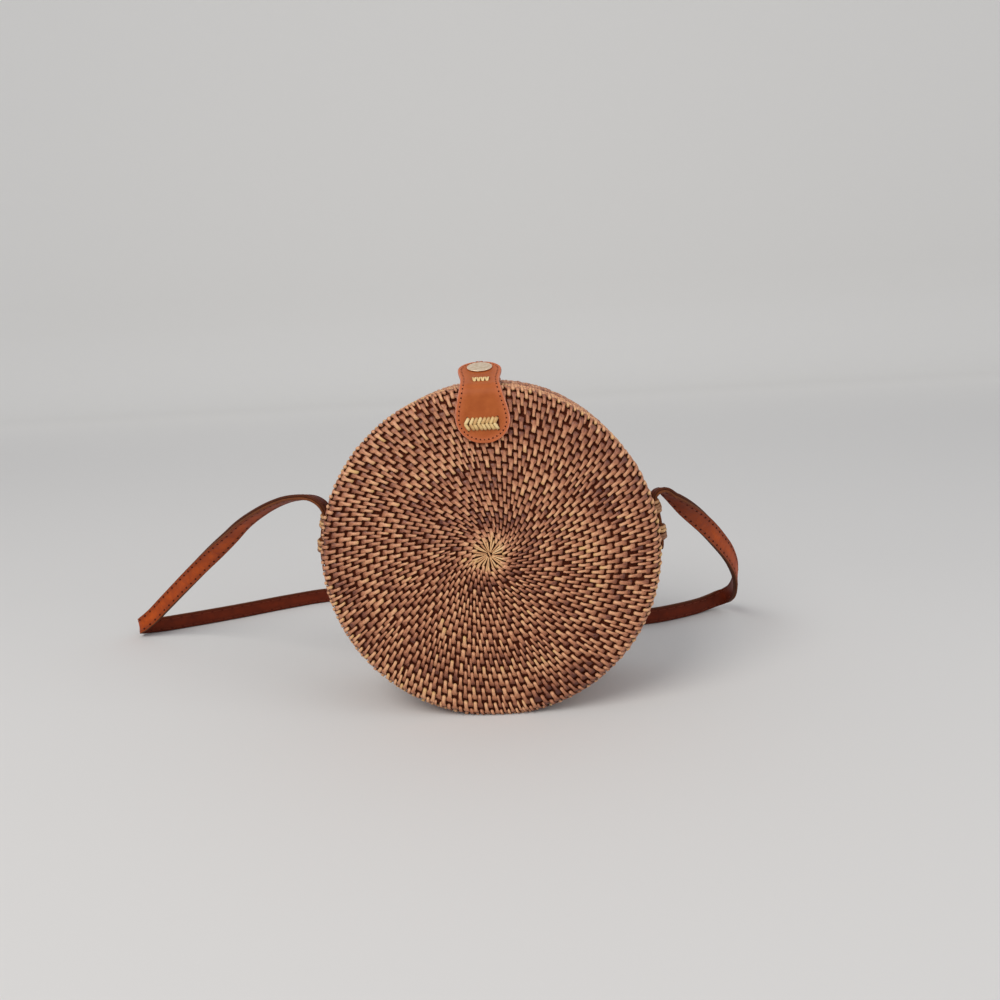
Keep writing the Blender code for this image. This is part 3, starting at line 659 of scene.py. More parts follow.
@dataclass(frozen=True)
class HalfForm:
    """Outer form of one woven half, by arc length from its middle."""

    side: int
    radius: float = 0.100
    edge_depth: float = 0.040
    dome: float = 0.002
    edge_radius: float = 0.006
    centre: float = 0.099
    wall: float = 0.0042
    mouth: float = 0.00495
    eye_raise: float = 0.0033
    base: float = 0.05 * MM

    @property
    def face_radius(self) -> float:
        """Radius of the domed face inside the round edge."""
        return self.radius - self.edge_radius

    @property
    def edge_centre(self) -> float:
        """Depth of the round edge's centre."""
        return self.edge_depth - self.edge_radius

    @property
    def edge_end(self) -> float:
        """Arc length where the round edge ends."""
        return self.face_radius + self.edge_radius * math.pi / 2

    @property
    def length(self) -> float:
        """Arc length from the middle to the shell's mouth."""
        return self.edge_end + self.edge_centre - self.mouth

    def profile(self, arc: float) -> tuple[float, float, float, float]:
        """Return the radius, depth and outward direction at an arc length."""
        if arc <= self.face_radius:
            share = arc / self.face_radius
            slope = 2 * self.dome * share / self.face_radius
            size = math.hypot(slope, 1)
            return arc, self.edge_depth + self.dome * (1 - share ** 2), slope / size, 1 / size
        if arc <= self.edge_end:
            turn = (arc - self.face_radius) / self.edge_radius
            sine, cosine = math.sin(turn), math.cos(turn)
            return (self.face_radius + self.edge_radius * sine,
                    self.edge_centre + self.edge_radius * cosine, sine, cosine)
        return self.radius, self.edge_centre - (arc - self.edge_end), 1.0, 0.0

    def place(self, arc: float, angle: float, lift: float) -> Vector:
        """Return a point by arc length, angle and height over the surface."""
        radius, depth, out, deep = self.profile(arc)
        return self.world(radius + out * lift, depth + deep * lift, angle)

    def lifted(self, radius: float) -> float:
        """Return how far the weave lies above the disc's middle: its eye sits high."""
        return self.eye_raise * max(1 - (radius / self.face_radius) ** 2, 0.0)

    def world(self, radius: float, depth: float, angle: float) -> Vector:
        """Return the point at a radius, depth and angle, flattened at the base."""
        height = self.centre + radius * math.sin(angle) + self.lifted(radius)
        return Vector((-self.side * radius * math.cos(angle), self.side * depth,
                       max(height, self.base)))


@dataclass
class WovenHalf:
    """One coiled half: core painted dark as shade, rosette, rows of strands, wrapped rim, lining.

    Attributes:
        name: Start of its pieces' names.
        body: Body that it rides on.
        side: -1 for the front half, 1 for the rear one.
        kit: Shared forms and materials.
        coil_widths: Arc lengths and widths of the coils, in millimetres.
        periods: Radii and distances of neighbouring strands, in millimetres.
        first: Arc length where the first row starts.
        hole: Share of a coil that a strand's tail leaves free.
        slant: How far the strands lean.
        eye_slant: The same near the eye.
        head, tail: Widths of a strand's ends as shares of its space.
        shoulder: Shares along between which the head widens.
        thick: Thickness of a strand with 5 mm of space.
        hump: How high a strand's head lies, in millimetres.
        tail_drop: How far its tail lies below the form.
        coil_height: How far the strand follows the coils below.
        head_dive, tail_dive: How far the ends go under.
        sink: How far all strands are let in.
        edge_calm: How much flatter the strands lie on the round edge.
        core_drop, core_wave: Mean depth of the core below the form, and its ribs.
        core_sides, lining_sides: Steps of their spins.
        rays, ray_ends: Number of the rosette's rays, and their lengths in turn.
        rim_width, rim_gap, rim_wraps: Mouth coil's width, seam gap and number of wraps.
        rim_bend: How far a wrap runs along the coil.
        hem: Depth at which the lining ends.
    """

    name: str
    body: Body
    side: int
    kit: Kit
    coil_widths: tuple[tuple[float, float], ...] = (
        (6, 3.0), (26, 3.25), (38, 3.8), (50, 4.1), (62, 4.15), (74, 4.4), (94, 4.7), (110, 4.4))
    periods: tuple[tuple[float, float], ...] = (
        (6, 2.2), (8, 2.7), (14, 3.5), (20, 4.0), (26, 4.3), (32, 4.7), (44, 5.0), (62, 5.2),
        (80, 5.4), (100, 5.6))
    first: float = 7.4 * MM
    hole: float = 0.30
    slant: float = math.radians(12)
    eye_slant: float = math.radians(20)
    head: float = 0.35
    tail: float = 0.64
    shoulder: tuple[float, float] = (0.56, 0.73)
    thick: float = 1.25 * MM
    hump: float = 0.30
    tail_drop: float = 0.26 * MM
    coil_height: float = 0.16 * MM
    head_dive: float = 1.0 * MM
    tail_dive: float = 0.3 * MM
    sink: float = 0.05 * MM
    edge_calm: float = 0.65
    core_drop: float = 1.2 * MM
    core_wave: float = 0.3 * MM
    core_sides: int = 128
    lining_sides: int = 96
    rays: int = 25
    ray_ends: tuple[float, ...] = (8.8, 12.8, 9.6, 11.4)
    rim_width: float = 4.5 * MM
    rim_gap: float = 0.15 * MM
    rim_wraps: int = 236
    rim_bend: float = 1.4 * MM
    hem: float = 2.6 * MM
    form: HalfForm = field(init=False)

    def __post_init__(self) -> None:
        """Work out the half's form and where its coils meet."""
        self.form = HalfForm(self.side)
        self.coils = [self.first]
        while self.coils[-1] < self.form.length:
            self.coils.append(self.coils[-1] + between(self.coil_widths, self.coils[-1]))

    def build(self) -> None:
        """Build every piece of the half."""
        self.weave()
        self.rosette()
        self.core()
        self.rim()
        self.lining()

    def lean(self, arc: float) -> float:
        """Return how far the strands lean at an arc length: more near the eye."""
        return self.eye_slant + (self.slant - self.eye_slant) * ease(arc, 20 * MM, 45 * MM)

    def rows(self, draw: random.Random) -> list[tuple[float, list[float]]]:
        """Work out each row's start and its strands' angles, brick fashion."""
        rows: list[tuple[float, list[float]]] = []
        count = round(FULL_TURN * self.first / between(self.periods, self.first))
        angles = [FULL_TURN * index / count for index in range(count)]
        for arc, following in zip(self.coils, self.coils[1:]):
            if arc > self.form.length - 0.5 * between(self.coil_widths, arc):
                break
            rows.append((arc, angles))
            radius = self.form.profile(following)[0]
            wanted = round(FULL_TURN * radius / between(self.periods, radius))
            angles = self.next_row(angles, wanted, draw)
            drift = math.tan(self.lean(arc)) * (following - arc) / max(radius, self.first)
            angles = [angle + drift for angle in angles]
        return rows

    @staticmethod
    def next_row(angles: list[float], wanted: int, draw: random.Random) -> list[float]:
        """Place the next row's strands between the last one's, two in the widest gaps."""
        count = len(angles)
        gaps = [(angles[(index + 1) % count] - angle) % FULL_TURN
                for index, angle in enumerate(angles)]
        by_width = sorted(range(count), key=lambda index: -gaps[index] * draw.uniform(0.9, 1.1))
        split = set(by_width[:max(wanted - count, 0)])
        placed: list[float] = []
        for index, angle in enumerate(angles):
            shares = (0.27, 0.73) if index in split else (0.5,)
            placed.extend(angle + gaps[index] * share for share in shares)
        return placed

    def tones(self, arc: float, angles: Sequence[float], draw: random.Random) -> list[float]:
        """Give each strand of a row its tone, which lasts for a few strands."""
        tones: list[float] = []
        left, run = 0, 0.5
        size = arc / MM
        ring = 0.13 * math.exp(-((size - 20) / 7) ** 2) - 0.28 * math.exp(-((size - 8.5) / 3) ** 2)
        for angle in angles:
            if left <= 0:
                left = draw.randint(4, 16)
                run = draw.gauss(0.55, 0.08)
            left -= 1
            patch = noise.noise(Vector((size * 0.11, math.cos(angle) * 1.6 + self.side,
                                        math.sin(angle) * 1.6)))
            tones.append(clamp(run - ring + patch * 0.20 + draw.gauss(0, 0.08), 0.02, 0.98))
        return tones

    def strand(self, start: float, stop: float, angle: float, space: float, tone: float,
               draw: random.Random) -> Strand:
        """Make one strand that lies over the coils between two arc lengths.

        Args:
            start: Arc length of its head.
            stop: Arc length of its tail.
            angle: Angle of its head.
            space: Angle that it has to itself in its row.
            tone: Its tone.
            draw: Source of small differences.

        Returns:
            The strand.
        """
        form = self.form
        middle = max(form.profile((start + stop) / 2)[0], self.first)
        angle += draw.gauss(0, 0.14 * MM) / middle
        slant = math.tan(self.lean(start) + draw.gauss(0, math.radians(2.5)))
        length = stop - start
        raise_by = draw.gauss(0, 0.08 * MM)
        size = space * middle * (1 + draw.gauss(0, 0.06))
        hump = (self.hump + draw.gauss(0, 0.06)) * MM
        roll = draw.gauss(0, 0.08)
        calm = 1 - self.edge_calm * math.exp(-((start - form.face_radius) / (7 * MM)) ** 2)

        def lay(along: float, across: float, up: float) -> Vector:
            """Lay the strand over its coils."""
            arc = start + length * along
            radius = max(form.profile(arc)[0], self.first)
            coil = self.coil_height * math.cos(FULL_TURN * (along * 2 - 0.5))
            dive = -self.head_dive * (1 - ease(along, -0.03, 0.06)) \
                - self.tail_dive * ease(along, 0.95, 1)
            high = hump * calm - (hump + self.tail_drop) * calm * ease(along, 0.45, 0.75)
            turned = angle + (slant * length * along + across) / radius
            return form.place(arc, turned,
                              up + coil + dive + high + raise_by + roll * across - self.sink)

        head = self.head + 0.16 * (1 - ease(start, 9 * MM, 18 * MM))
        return Strand(lay, head * size, self.tail * size,
                      self.thick * (size / (5.0 * MM)) ** 0.5, tone, draw.random(), 0.06,
                      self.shoulder)

    def weave(self) -> None:
        """Lay the rows of strands, the face and the side wall as two pieces."""
        draw = random.Random(SEED + self.side)
        groups: dict[str, list[Strand]] = {"face": [], "side": []}
        for row, (arc, angles) in enumerate(self.rows(draw)):
            tones = self.tones(arc, angles, draw)
            following = self.coils[row + 1]
            width = between(self.coil_widths, following)
            end = min(following + width * (1 - self.hole), self.form.length - 0.2 * MM)
            where = "face" if arc < self.form.face_radius - width else "side"
            for index, (angle, tone) in enumerate(zip(angles, tones)):
                after = angles[(index + 1) % len(angles)]
                space = ((after - angles[index - 1]) % FULL_TURN) / 2
                groups[where].append(self.strand(arc, end + draw.gauss(0, 0.12 * MM), angle,
                                                 space, tone, draw))
        for where, strands in groups.items():
            piece = self.kit.woven.build(self.name + "_" + where + "_weave", strands,
                                         self.kit.brown)
            settle(piece, self.body, "rattan")

    def ray(self, index: int, draw: random.Random) -> Strand:
        """Make one of the pale rays that start the coil."""
        angle = FULL_TURN * (index + draw.gauss(0, 0.14)) / self.rays
        stop = (self.ray_ends[index % 4] + draw.gauss(0, 0.7)) * MM
        start = draw.uniform(1.2, 1.9) * MM
        lean = math.tan(math.radians(9) + draw.gauss(0, math.radians(3)))
        high = (0.55 + 0.30 * (index % 2)) * MM

        def lay(along: float, across: float, up: float) -> Vector:
            """Lay the ray from the eye outwards."""
            arc = start + (stop - start) * along
            lift = high * math.sin(math.pi * min(along * 0.9 + 0.12, 1)) - 0.35 * MM \
                - 0.8 * MM * ease(along, 0.86, 1)
            turned = angle + lean * (arc - start) / max(arc, 3 * MM) + across / max(arc, 1.2 * MM)
            return self.form.place(arc, turned, up + lift + 0.2 * MM)

        tone = draw.gauss(0.54, 0.20) + 0.12 * math.cos(angle)
        return Strand(lay, 0.55 * MM, 1.50 * MM, 0.95 * MM, clamp(tone, 0.05, 0.98),
                      draw.random(), 0.06)

    def rosette(self) -> None:
        """Lay the pale rays and the short strand that crosses the dark eye."""
        draw = random.Random(SEED * 3 + self.side)
        strands = [self.ray(index, draw) for index in range(self.rays)]
        cosine, sine = math.cos(math.radians(112)), math.sin(math.radians(112))

        def cross(along: float, across: float, up: float) -> Vector:
            """Lay the crossing strand."""
            reach = (along - 0.5) * 4.0 * MM
            x = reach * cosine - across * sine
            z = reach * sine + across * cosine
            return self.form.place(math.hypot(x, z), math.atan2(z, x),
                                   up + 0.35 * MM * math.sin(math.pi * along))

        strands.append(Strand(cross, 0.8 * MM, 0.9 * MM, 0.8 * MM, 0.5, draw.random(), 0.2))
        piece = self.kit.batch.build(self.name + "_rosette", strands, self.kit.honey)
        settle(piece, self.body, "pale_rattan")

    def core(self) -> None:
        """Turn the coils under the strands, a closed ribbed dish painted dark as the shade between
        them.
        """
        form = self.form
        steps = len(self.coils) * 4
        outside = []
        for step in range(steps + 1):
            arc = form.length * step / steps
            coil = clamp(bisect.bisect_right(self.coils, arc) - 1, 0, len(self.coils) - 2)
            turn = (arc - self.coils[coil]) / (self.coils[coil + 1] - self.coils[coil])
            radius, depth, out, deep = form.profile(arc)
            drop = self.core_drop - self.core_wave * math.cos(FULL_TURN * turn + math.pi)
            outside.append((max(radius - out * drop, 0.0), depth - deep * drop))
        inner_end, floor = form.radius - form.wall, form.edge_depth - form.wall
        inside = [(inner_end, form.mouth), (inner_end, floor - MM), (inner_end - MM, floor),
                  (0.0, floor + form.dome)]
        outside[0] = (0.0, outside[0][1])
        piece = self.turned("_core", outside + inside)
        settle(piece, self.body, "rattan", self.name + "_shell")

    def turned(self, part: str, points: Sequence[tuple[float, float]],
               closed: bool = False) -> bpy.types.Object:
        """Spin a profile of radius and depth into a piece painted dark as shade, its middle raised.
        """
        bm = spun([(radius, self.side * depth, 0) for radius, depth in points], (0, 1, 0),
                  self.core_sides, closed)
        for vert in bm.verts:
            raised = self.form.lifted(math.hypot(vert.co.x, vert.co.z))
            vert.co.z = max(vert.co.z + self.form.centre + raised, 0.3 * MM)
        return make_object(self.name + part, bm, self.kit.core)

    def rim_wrap(self, index: int, draw: random.Random) -> Strand:
        """Make one wrap round the mouth coil's rounded square, from its outer rear."""
        form, half = self.form, self.rim_width / 2
        around = FULL_TURN * (index + draw.gauss(0, 0.05)) / self.rim_wraps

        def lay(along: float, across: float, up: float) -> Vector:
            """Lay the wrap."""
            angle = -math.pi * 0.30 + along * math.pi * 1.60
            cosine, sine = math.cos(angle), math.sin(angle)
            reach = (half + (up - 0.42 * MM)) * squared(cosine, sine, 4.0)
            return form.world(form.radius - half + reach * cosine,
                              self.rim_gap + half - reach * sine,
                              around + (across + self.rim_bend * along) / form.radius)

        patch = noise.noise(Vector((around * 4, self.side, 0)))
        tone = clamp(0.46 + 0.25 * patch + draw.gauss(0, 0.1), 0.02, 0.98)
        return Strand(lay, 2.3 * MM, 2.3 * MM, 0.8 * MM, tone, draw.random(), 0.04)

    def rim(self) -> None:
        """Wrap the mouth coil."""
        draw = random.Random(SEED * 5 + self.side)
        half = self.rim_width / 2
        strands = [self.rim_wrap(index, draw) for index in range(self.rim_wraps)]
        wraps = self.kit.batch.build(self.name + "_rim_wraps", strands, self.kit.brown)
        settle(wraps, self.body, "rattan")
        reach = half - 0.7 * MM
        points = [(self.form.radius - half + reach * math.cos(turn),
                   self.rim_gap + half + reach * math.sin(turn))
                  for turn in (FULL_TURN * step / 12 for step in range(12))]
        # The mouth coil's core under the wraps is painted dark as the shade between them.
        coil = self.turned("_rim_core", points, closed=True)
        settle(coil, self.body, "rattan", self.name + "_rim")

    def lining(self) -> None:
        """Make the cloth that lines the half, with a little slack in it."""
        form = self.form
        inset = form.wall + 0.4 * MM
        cloth, corner = 0.8 * MM, 2.0 * MM
        radius = form.radius - inset
        depth = form.edge_depth - inset
        fall = depth - corner - self.hem
        turns = [math.pi / 2 * step / 4 for step in range(1, 5)]
        outside = [(r, depth + form.dome * (1 - (r / radius) ** 2))
                   for r in ((radius - corner) * step / 12 for step in range(13))]
        outside += [(radius - corner + corner * math.sin(turn),
                     depth - corner + corner * math.cos(turn)) for turn in turns]
        outside += [(radius, depth - corner - fall * step / 8) for step in range(1, 9)]
        inside = [(max(r - cloth * (r > radius - corner), 0), d - cloth * (d > self.hem + MERGE))
                  for r, d in reversed(outside)]
        bm = spun([(r, self.side * d, 0) for r, d in outside + inside], (0, 1, 0),
                  self.lining_sides)
        weave = bm.verts.layers.float_vector.new("cloth")
        for vert in bm.verts:
            x, y, z = vert.co
            vert[weave] = Vector((x, z, 0)) if abs(y) > depth - corner \
                else Vector((math.atan2(z, x) * radius, y, 0))
            ruck = noise.noise(Vector((x, y * 2, z)) * 45) + 0.5 * noise.noise(vert.co * 120)
            if math.hypot(x, z) < radius - cloth / 2 and abs(y) < depth + form.dome - cloth / 2:
                vert.co.y += self.side * 0.25 * MM * (ruck - 0.6)
            vert.co.z += form.centre
        piece = make_object(self.name + "_lining_cloth", bm, self.kit.cotton)
        settle(piece, self.body, "lining_cloth", self.name + "_lining")
        wall = depth - self.hem
        across = 2 * (radius + wall)
        math.pi * radius ** 2 + FULL_TURN * radius * wall


@dataclass
class EdgePath:
    """Centre line of leather that lies on a face and turns over the top edge."""

    side: int
    thickness: float
    drop: float
    rise: float
    form: HalfForm
    gap: float = 0.3 * MM

    def __post_init__(self) -> None:
        """Work out the turn over the edge."""
        form = self.form
        self.round = form.edge_radius + self.gap + self.thickness / 2
        self.lean = math.atan(form.dome / form.face_radius * (2 - self.drop / form.face_radius))
        self.turn = math.pi / 2 - self.rise - self.lean
        self.arc = self.round * self.turn

    def edge_point(self, lean: float) -> Vector:
        """Return the point of the turned part at an angle from the face."""
        form = self.form
        return Vector((0, self.side * (form.edge_centre + self.round * math.cos(lean)),
                       form.centre + form.face_radius + self.round * math.sin(lean)))

    def direction(self, lean: float) -> Vector:
        """Return the direction of travel at that angle."""
        return Vector((0, -self.side * math.sin(lean), math.cos(lean)))

    def at(self, length: float) -> tuple[Vector, Vector]:
        """Return the point and direction at a length from the lower end."""
        if length < self.drop:
            ahead = self.direction(self.lean)
            return self.edge_point(self.lean) - ahead * (self.drop - length), ahead
        lean = self.lean + min((length - self.drop) / self.round, self.turn)
        past = max(length - self.drop - self.arc, 0)
        ahead = self.direction(lean)
        return self.edge_point(lean) + ahead * past, ahead


class Route:
    """A centre line, each point with its directions ahead and across."""

    def __init__(self, points: Sequence[PathPoint]) -> None:
        """Measure the line's length."""
        self.points = list(points)
        self.lengths = [0.0]
        for (first, _, _), (second, _, _) in zip(self.points, self.points[1:]):
            self.lengths.append(self.lengths[-1] + (second - first).length)
        self.total = self.lengths[-1]

    def at(self, length: float) -> PathPoint:
        """Return the place and the directions ahead and across at a length."""
        index = clamp(bisect.bisect_right(self.lengths, length) - 1, 0, len(self.points) - 2)
        share = (length - self.lengths[index]) / (self.lengths[index + 1] - self.lengths[index])
        place, ahead, across = (first.lerp(second, share) for first, second
                                in zip(self.points[index], self.points[index + 1]))
        ahead = ahead.normalized()
        return place, ahead, (across - ahead * across.dot(ahead)).normalized()


@dataclass(frozen=True)
class Seam:
    """How a piece of leather is sewn.

    Attributes:
        pitch: Distance from stitch to stitch.
        width: Width of the thread.
        hole: Width of the awl's holes, and of the dark strips painted as their shade.
        thread: Finish of the thread.
        slot: How much longer than wide the holes are.
    """

    pitch: float
    width: float
    hole: float
    thread: bpy.types.Material
    slot: float = 1.0


@dataclass
class Hide:
    """One cut piece of leather with rounded cut edges and a sewn groove.

    Attributes:
        route: Its centre line.
        half_width: Half width at a length.
        thickness: Thickness.
        seam: How far the stitches lie in from the edge.
        nose: Length of the round ends, where sections lie closer.
        step: Distance of its sections.
        shift: How far its middle lies off the route, along the normal.
        groove: How deep the sewing has pulled the leather in.
        corner: Radius of the cut edge's corners.
        shaded_end: Length over which both ends are painted darker as shade.
        insets: Distances from the edge, in millimetres, of the section's points.
        outline_step: Distance of the outline's points.
    """

    route: Route
    half_width: Callable[[float], float]
    thickness: float
    seam: float
    nose: float
    step: float = 1.1 * MM
    shift: float = 0.0
    groove: float = 0.16 * MM
    corner: float = 0.5 * MM
    shaded_end: float = 0.0
    insets: tuple[float, ...] = (0.55, 0.85, 1.15, 1.5, 1.85, 2.2, 2.8, 4.2, 6.5, 9.5)
    outline_step: float = 0.4 * MM

    def point(self, length: float, across: float, up: float) -> Vector:
        """Return a point by length, and metres across and off the middle layer."""
        place, ahead, sideways = self.route.at(length)
        return place + sideways * across + sideways.cross(ahead) * (up + self.shift)

    def section(self, widest: float) -> list[tuple[float, float, int, float]]:
        """Return the cross-section: edge distance, height, side and face share."""
        half, corner = self.thickness / 2, min(self.corner, self.thickness * 0.42)
        inner = [value * MM for value in self.insets if corner < value * MM < widest - 0.8 * MM]
        right = [(corner * (1 - math.cos(turn)), half - corner + corner * math.sin(turn), 1, 0.0)
                 for turn in (math.radians(value) for value in (0, 25, 50, 75))]
        right += [(away, half, 1, 1.0) for away in inner]
        left = [(away, up, -1, face) for away, up, _, face in reversed(right)]
        top = right + [(widest, half, 1, 1.0)] + left
        return top + [(away, -up, side, face) for away, up, side, face in reversed(top)]

    def spread(self, turns: int, step: float) -> list[float]:
        """Return lengths at a step, closer in the round ends."""
        total, nose = self.route.total, self.nose
        ends = [nose * (1 - math.cos(math.pi / 2 * index / turns)) for index in range(turns)]
        count = max(int((total - 2 * nose) / step), 1)
        middle = [nose + (total - 2 * nose) * index / count for index in range(count + 1)]
        return ends + middle + [total - value for value in reversed(ends)]

    def outline(self, inset: float) -> list[tuple[float, float]]:
        """Return the closed outline, moved inwards, as lengths and widths across."""
        points = [(length, self.half_width(length))
                  for length in self.spread(24, self.outline_step)]
        ring = points + [(length, -width) for length, width in reversed(points)]
        moved = []
        for index, (length, across) in enumerate(ring):
            before, after = ring[index - 1], ring[(index + 1) % len(ring)]
            run, rise = after[0] - before[0], after[1] - before[1]
            size = math.hypot(run, rise) or 1.0
            moved.append((length + inset * rise / size, across - inset * run / size))
        return moved

    def edge_distances(self, samples: Sequence[tuple[float, float]]) -> list[float]:
        """Return how far points of the flat piece lie from its cut edge."""
        ring, reach = self.outline(0.0), self.nose * 2
        found = []
        for length, across in samples:
            if reach < length < self.route.total - reach:
                found.append(self.half_width(length) - abs(across))
            else:
                found.append(min(math.hypot(point[0] - length, point[1] - across)
                                 for point in ring if abs(point[0] - length) < reach))
        return found

    def build(self, name: str, finish: bpy.types.Material) -> bpy.types.Object:
        """Build the piece from a tube of sections.

        Args:
            name: Name of the piece.
            finish: Its leather.

        Returns:
            The new object.
        """
        total = self.route.total
        widest = max(self.half_width(total * step / 60) for step in range(61))
        section, stations = self.section(widest), self.spread(9, self.step)
        stations[0], stations[-1] = 0.05 * MM, total - 0.05 * MM
        sides, rings = len(section), len(stations)
        bm = unit_tube(sides, rings - 1)
        marks = bm.verts.layers.float_color.new("leather")
        flat = []
        for vert in bm.verts:
            turn = round(math.atan2(vert.co.x, vert.co.y) / FULL_TURN * sides) % sides
            away, up, side, face = section[turn]
            length = stations[round(vert.co.z * (rings - 1))]
            width = max(self.half_width(length), 0.15 * MM)
            flat.append((length, side * width * (1 - away / widest), up, face))
        distances = self.edge_distances([(length, across) for length, across, _, _ in flat])
        for vert, (length, across, up, face), away in zip(bm.verts, flat, distances):
            end = min(length, total - length)
            up *= math.sqrt(max(1 - (1 - min(end / self.corner, 1.0)) ** 2, 0.05))
            dip = self.groove * math.exp(-((away - self.seam) / (0.55 * MM)) ** 2) * face
            vert.co = self.point(length, across, math.copysign(max(abs(up) - dip, 0), up))
            # Painted shade: both ends darken over this length.
            dark = self.shaded_end and 1 - ease(end / self.shaded_end, 0.6, 1.5)
            vert[marks] = (away / (10 * MM), face, dark, 1.0)
        return make_object(name, bm, finish)

    def stitches(self, up_side: int, seam: Seam, draw: random.Random
                 ) -> tuple[list[Strand], list[Strand]]:
        """Lay stitches all round, a little inside the cut edge.

        Args:
            up_side: 1 for the outer face, -1 for the other.
            seam: Its sizes.
            draw: Source of small differences.

        Returns:
            The stitches, and the dark strips painted as the shade of the awl holes between them.
        """
        ring = self.outline(self.seam)
        ring.append(ring[0])
        lengths = [0.0]
        for first, second in zip(ring, ring[1:]):
            lengths.append(lengths[-1] + math.dist(first, second))
        count = round(lengths[-1] / seam.pitch)
        pitch = lengths[-1] / count
        surface = self.thickness / 2 - self.groove

        def on_seam(run: float, away: float, up: float) -> Vector:
            """Return the place at a length of the seam, beside it and over the leather."""
            run %= lengths[-1]
            index = min(bisect.bisect_right(lengths, run) - 1, len(ring) - 2)
            size = lengths[index + 1] - lengths[index] or 1.0
            share = (run - lengths[index]) / size
            (x0, y0), (x1, y1) = ring[index], ring[index + 1]
            return self.point(x0 + (x1 - x0) * share - (y1 - y0) / size * away,
                              y0 + (y1 - y0) * share + (x1 - x0) / size * away,
                              up_side * (surface + up))

        def sewn(start: float) -> tuple[Strand, Strand]:
            """Return the stitch that starts at a length of the seam, and its hole."""
            skew = draw.gauss(0, 0.06 * MM)
            size = seam.slot * seam.hole + draw.gauss(0, 0.06 * MM)

            def lay(along: float, across: float, up: float) -> Vector:
                """Lay the stitch along the seam."""
                sink = 0.42 * MM * abs(2 * along - 1) ** 5
                return on_seam(start + pitch * (0.03 + 0.94 * along),
                               across + skew * (2 * along - 1), 0.12 * MM + up - sink)

            def lay_hole_shadow(along: float, across: float, up: float) -> Vector:
                """Lay the dark strip painted as the awl hole's shade at the stitch's start."""
                return on_seam(start + size * (along - 0.5), across, 0.16 * MM + up * 0.1)

            return (Strand(lay, seam.width, seam.width, seam.width * 0.8, 0.5, draw.random(),
                           0.16),
                    Strand(lay_hole_shadow, seam.hole, seam.hole, 0.5 * MM, 0.0, draw.random(), 0.45))

        pairs = [sewn(index * pitch) for index in range(count)]
        return [made for made, _ in pairs], [hole for _, hole in pairs]

    def sew(self, name: str, faces: Sequence[int], seam: Seam, kit: Kit,
            draw: random.Random) -> list[bpy.types.Object]:
        """Sew round the edge.

        Args:
            name: Start of the pieces' names.
            faces: Sides that show the seam, 1 for the outer face and -1 for the other.
            seam: How it is sewn.
            kit: Shared forms and materials.
            draw: Source of small differences.

        Returns:
            The stitches and the painted shade of the awl holes, as two pieces.
        """
        stitches: list[Strand] = []
        holes: list[Strand] = []
        for face in faces:
            made, pierced = self.stitches(face, seam, draw)
            stitches += made
            holes += pierced
        return [kit.stitch.build(name + "_stitches", stitches, seam.thread),
                kit.stitch.build(name + "_awl_hole_shadows", holes, kit.hole)]


@dataclass
class Plait:
    """Short rattan lashing that is laced through leather.

    Attributes:
        point: Place for metres along the plait, across it and over the leather.
        span: Its length.
        width: Its width.
        lean: How far a chevron's arms run along it.
        rise: How far it stands off the leather.
        knot_rise: The same of the strands that end it.
        knot: Place across, turn and length in millimetres of each of those strands.
    """

    point: Placer
    span: float
    width: float
    lean: float = 2.3 * MM
    rise: float = 1.35 * MM
    knot_rise: float = 1.2 * MM
    knot: tuple[tuple[float, float, float], ...] = (
        (0.30, 0.9, 3.0), (-0.05, -0.7, 3.4), (-0.34, 0.5, 2.8))

    def arm(self, apex: float, side: int, over: int, pitch: float,
            draw: random.Random) -> Strand:
        """Make one arm of a chevron, over or under its neighbour at the apex."""
        half = self.width / 2
        reach = self.lean + draw.gauss(0, 0.12 * MM)
        size = math.hypot(reach, half)
        run, slope = reach / size, half / size

        def lay(along: float, across: float, up: float) -> Vector:
            """Lay the arm from the apex outwards."""
            x = apex + reach * along - slope * across
            y = side * (half * along + run * across - 0.25 * MM * (1 - along))
            hump = math.sin(math.pi * min(0.18 + along * 0.82, 1.0)) ** 0.6
            return self.point(x, y, up + self.rise * (0.30 + 0.42 * hump)
                              + 0.16 * MM * over * (1 - along) - 0.8 * MM * ease(along, 0.82, 1))

        return Strand(lay, pitch * 0.80, pitch * 0.86, 0.95 * MM,
                      clamp(draw.gauss(0.62, 0.14), 0.05, 0.98), draw.random(), 0.07)

    def chevrons(self, count: int, draw: random.Random) -> list[Strand]:
        """Lay one chevron more than the count, all pointing to one side."""
        pitch = (self.span - self.lean) / count
        return [self.arm(-self.span / 2 + pitch * index - 0.6 * MM * (index == 0), side,
                         (index + (side > 0)) % 2, pitch, draw)
                for index in range(count + 1) for side in (-1, 1)]

    def knots(self, x: float, draw: random.Random) -> list[Strand]:
        """Lay the short crossing strands that end the plait."""
        def knot(y: float, turn: float, size: float) -> Strand:
            """Make one of them."""
            def lay(along: float, across: float, up: float) -> Vector:
                """Lay it aslant."""
                reach = (along - 0.5) * size * MM
                high = self.knot_rise * 0.45 * math.sin(math.pi * (0.12 + 0.76 * along))
                return self.point(x + reach * math.cos(turn) - across * math.sin(turn),
                                  y * self.width + reach * math.sin(turn)
                                  + across * math.cos(turn), up + high)

            return Strand(lay, 1.2 * MM, 1.3 * MM, 0.9 * MM, draw.uniform(0.3, 0.7),
                          draw.random(), 0.12)

        return [knot(*row) for row in self.knot]

    def slit_shadow(self, x: float, more: float, size: float) -> Strand:
        """Lay a thin dark strip, painted shadow, where the lashing goes through a cut in the
        leather.
        """
        def lay(along: float, across: float, up: float) -> Vector:
            """Lay the cut across the plait."""
            return self.point(x + across, (along - 0.5) * (self.width + more), up * 0.12)

        return Strand(lay, size, size, 0.5 * MM, 0.0, 0.0, 0.12)


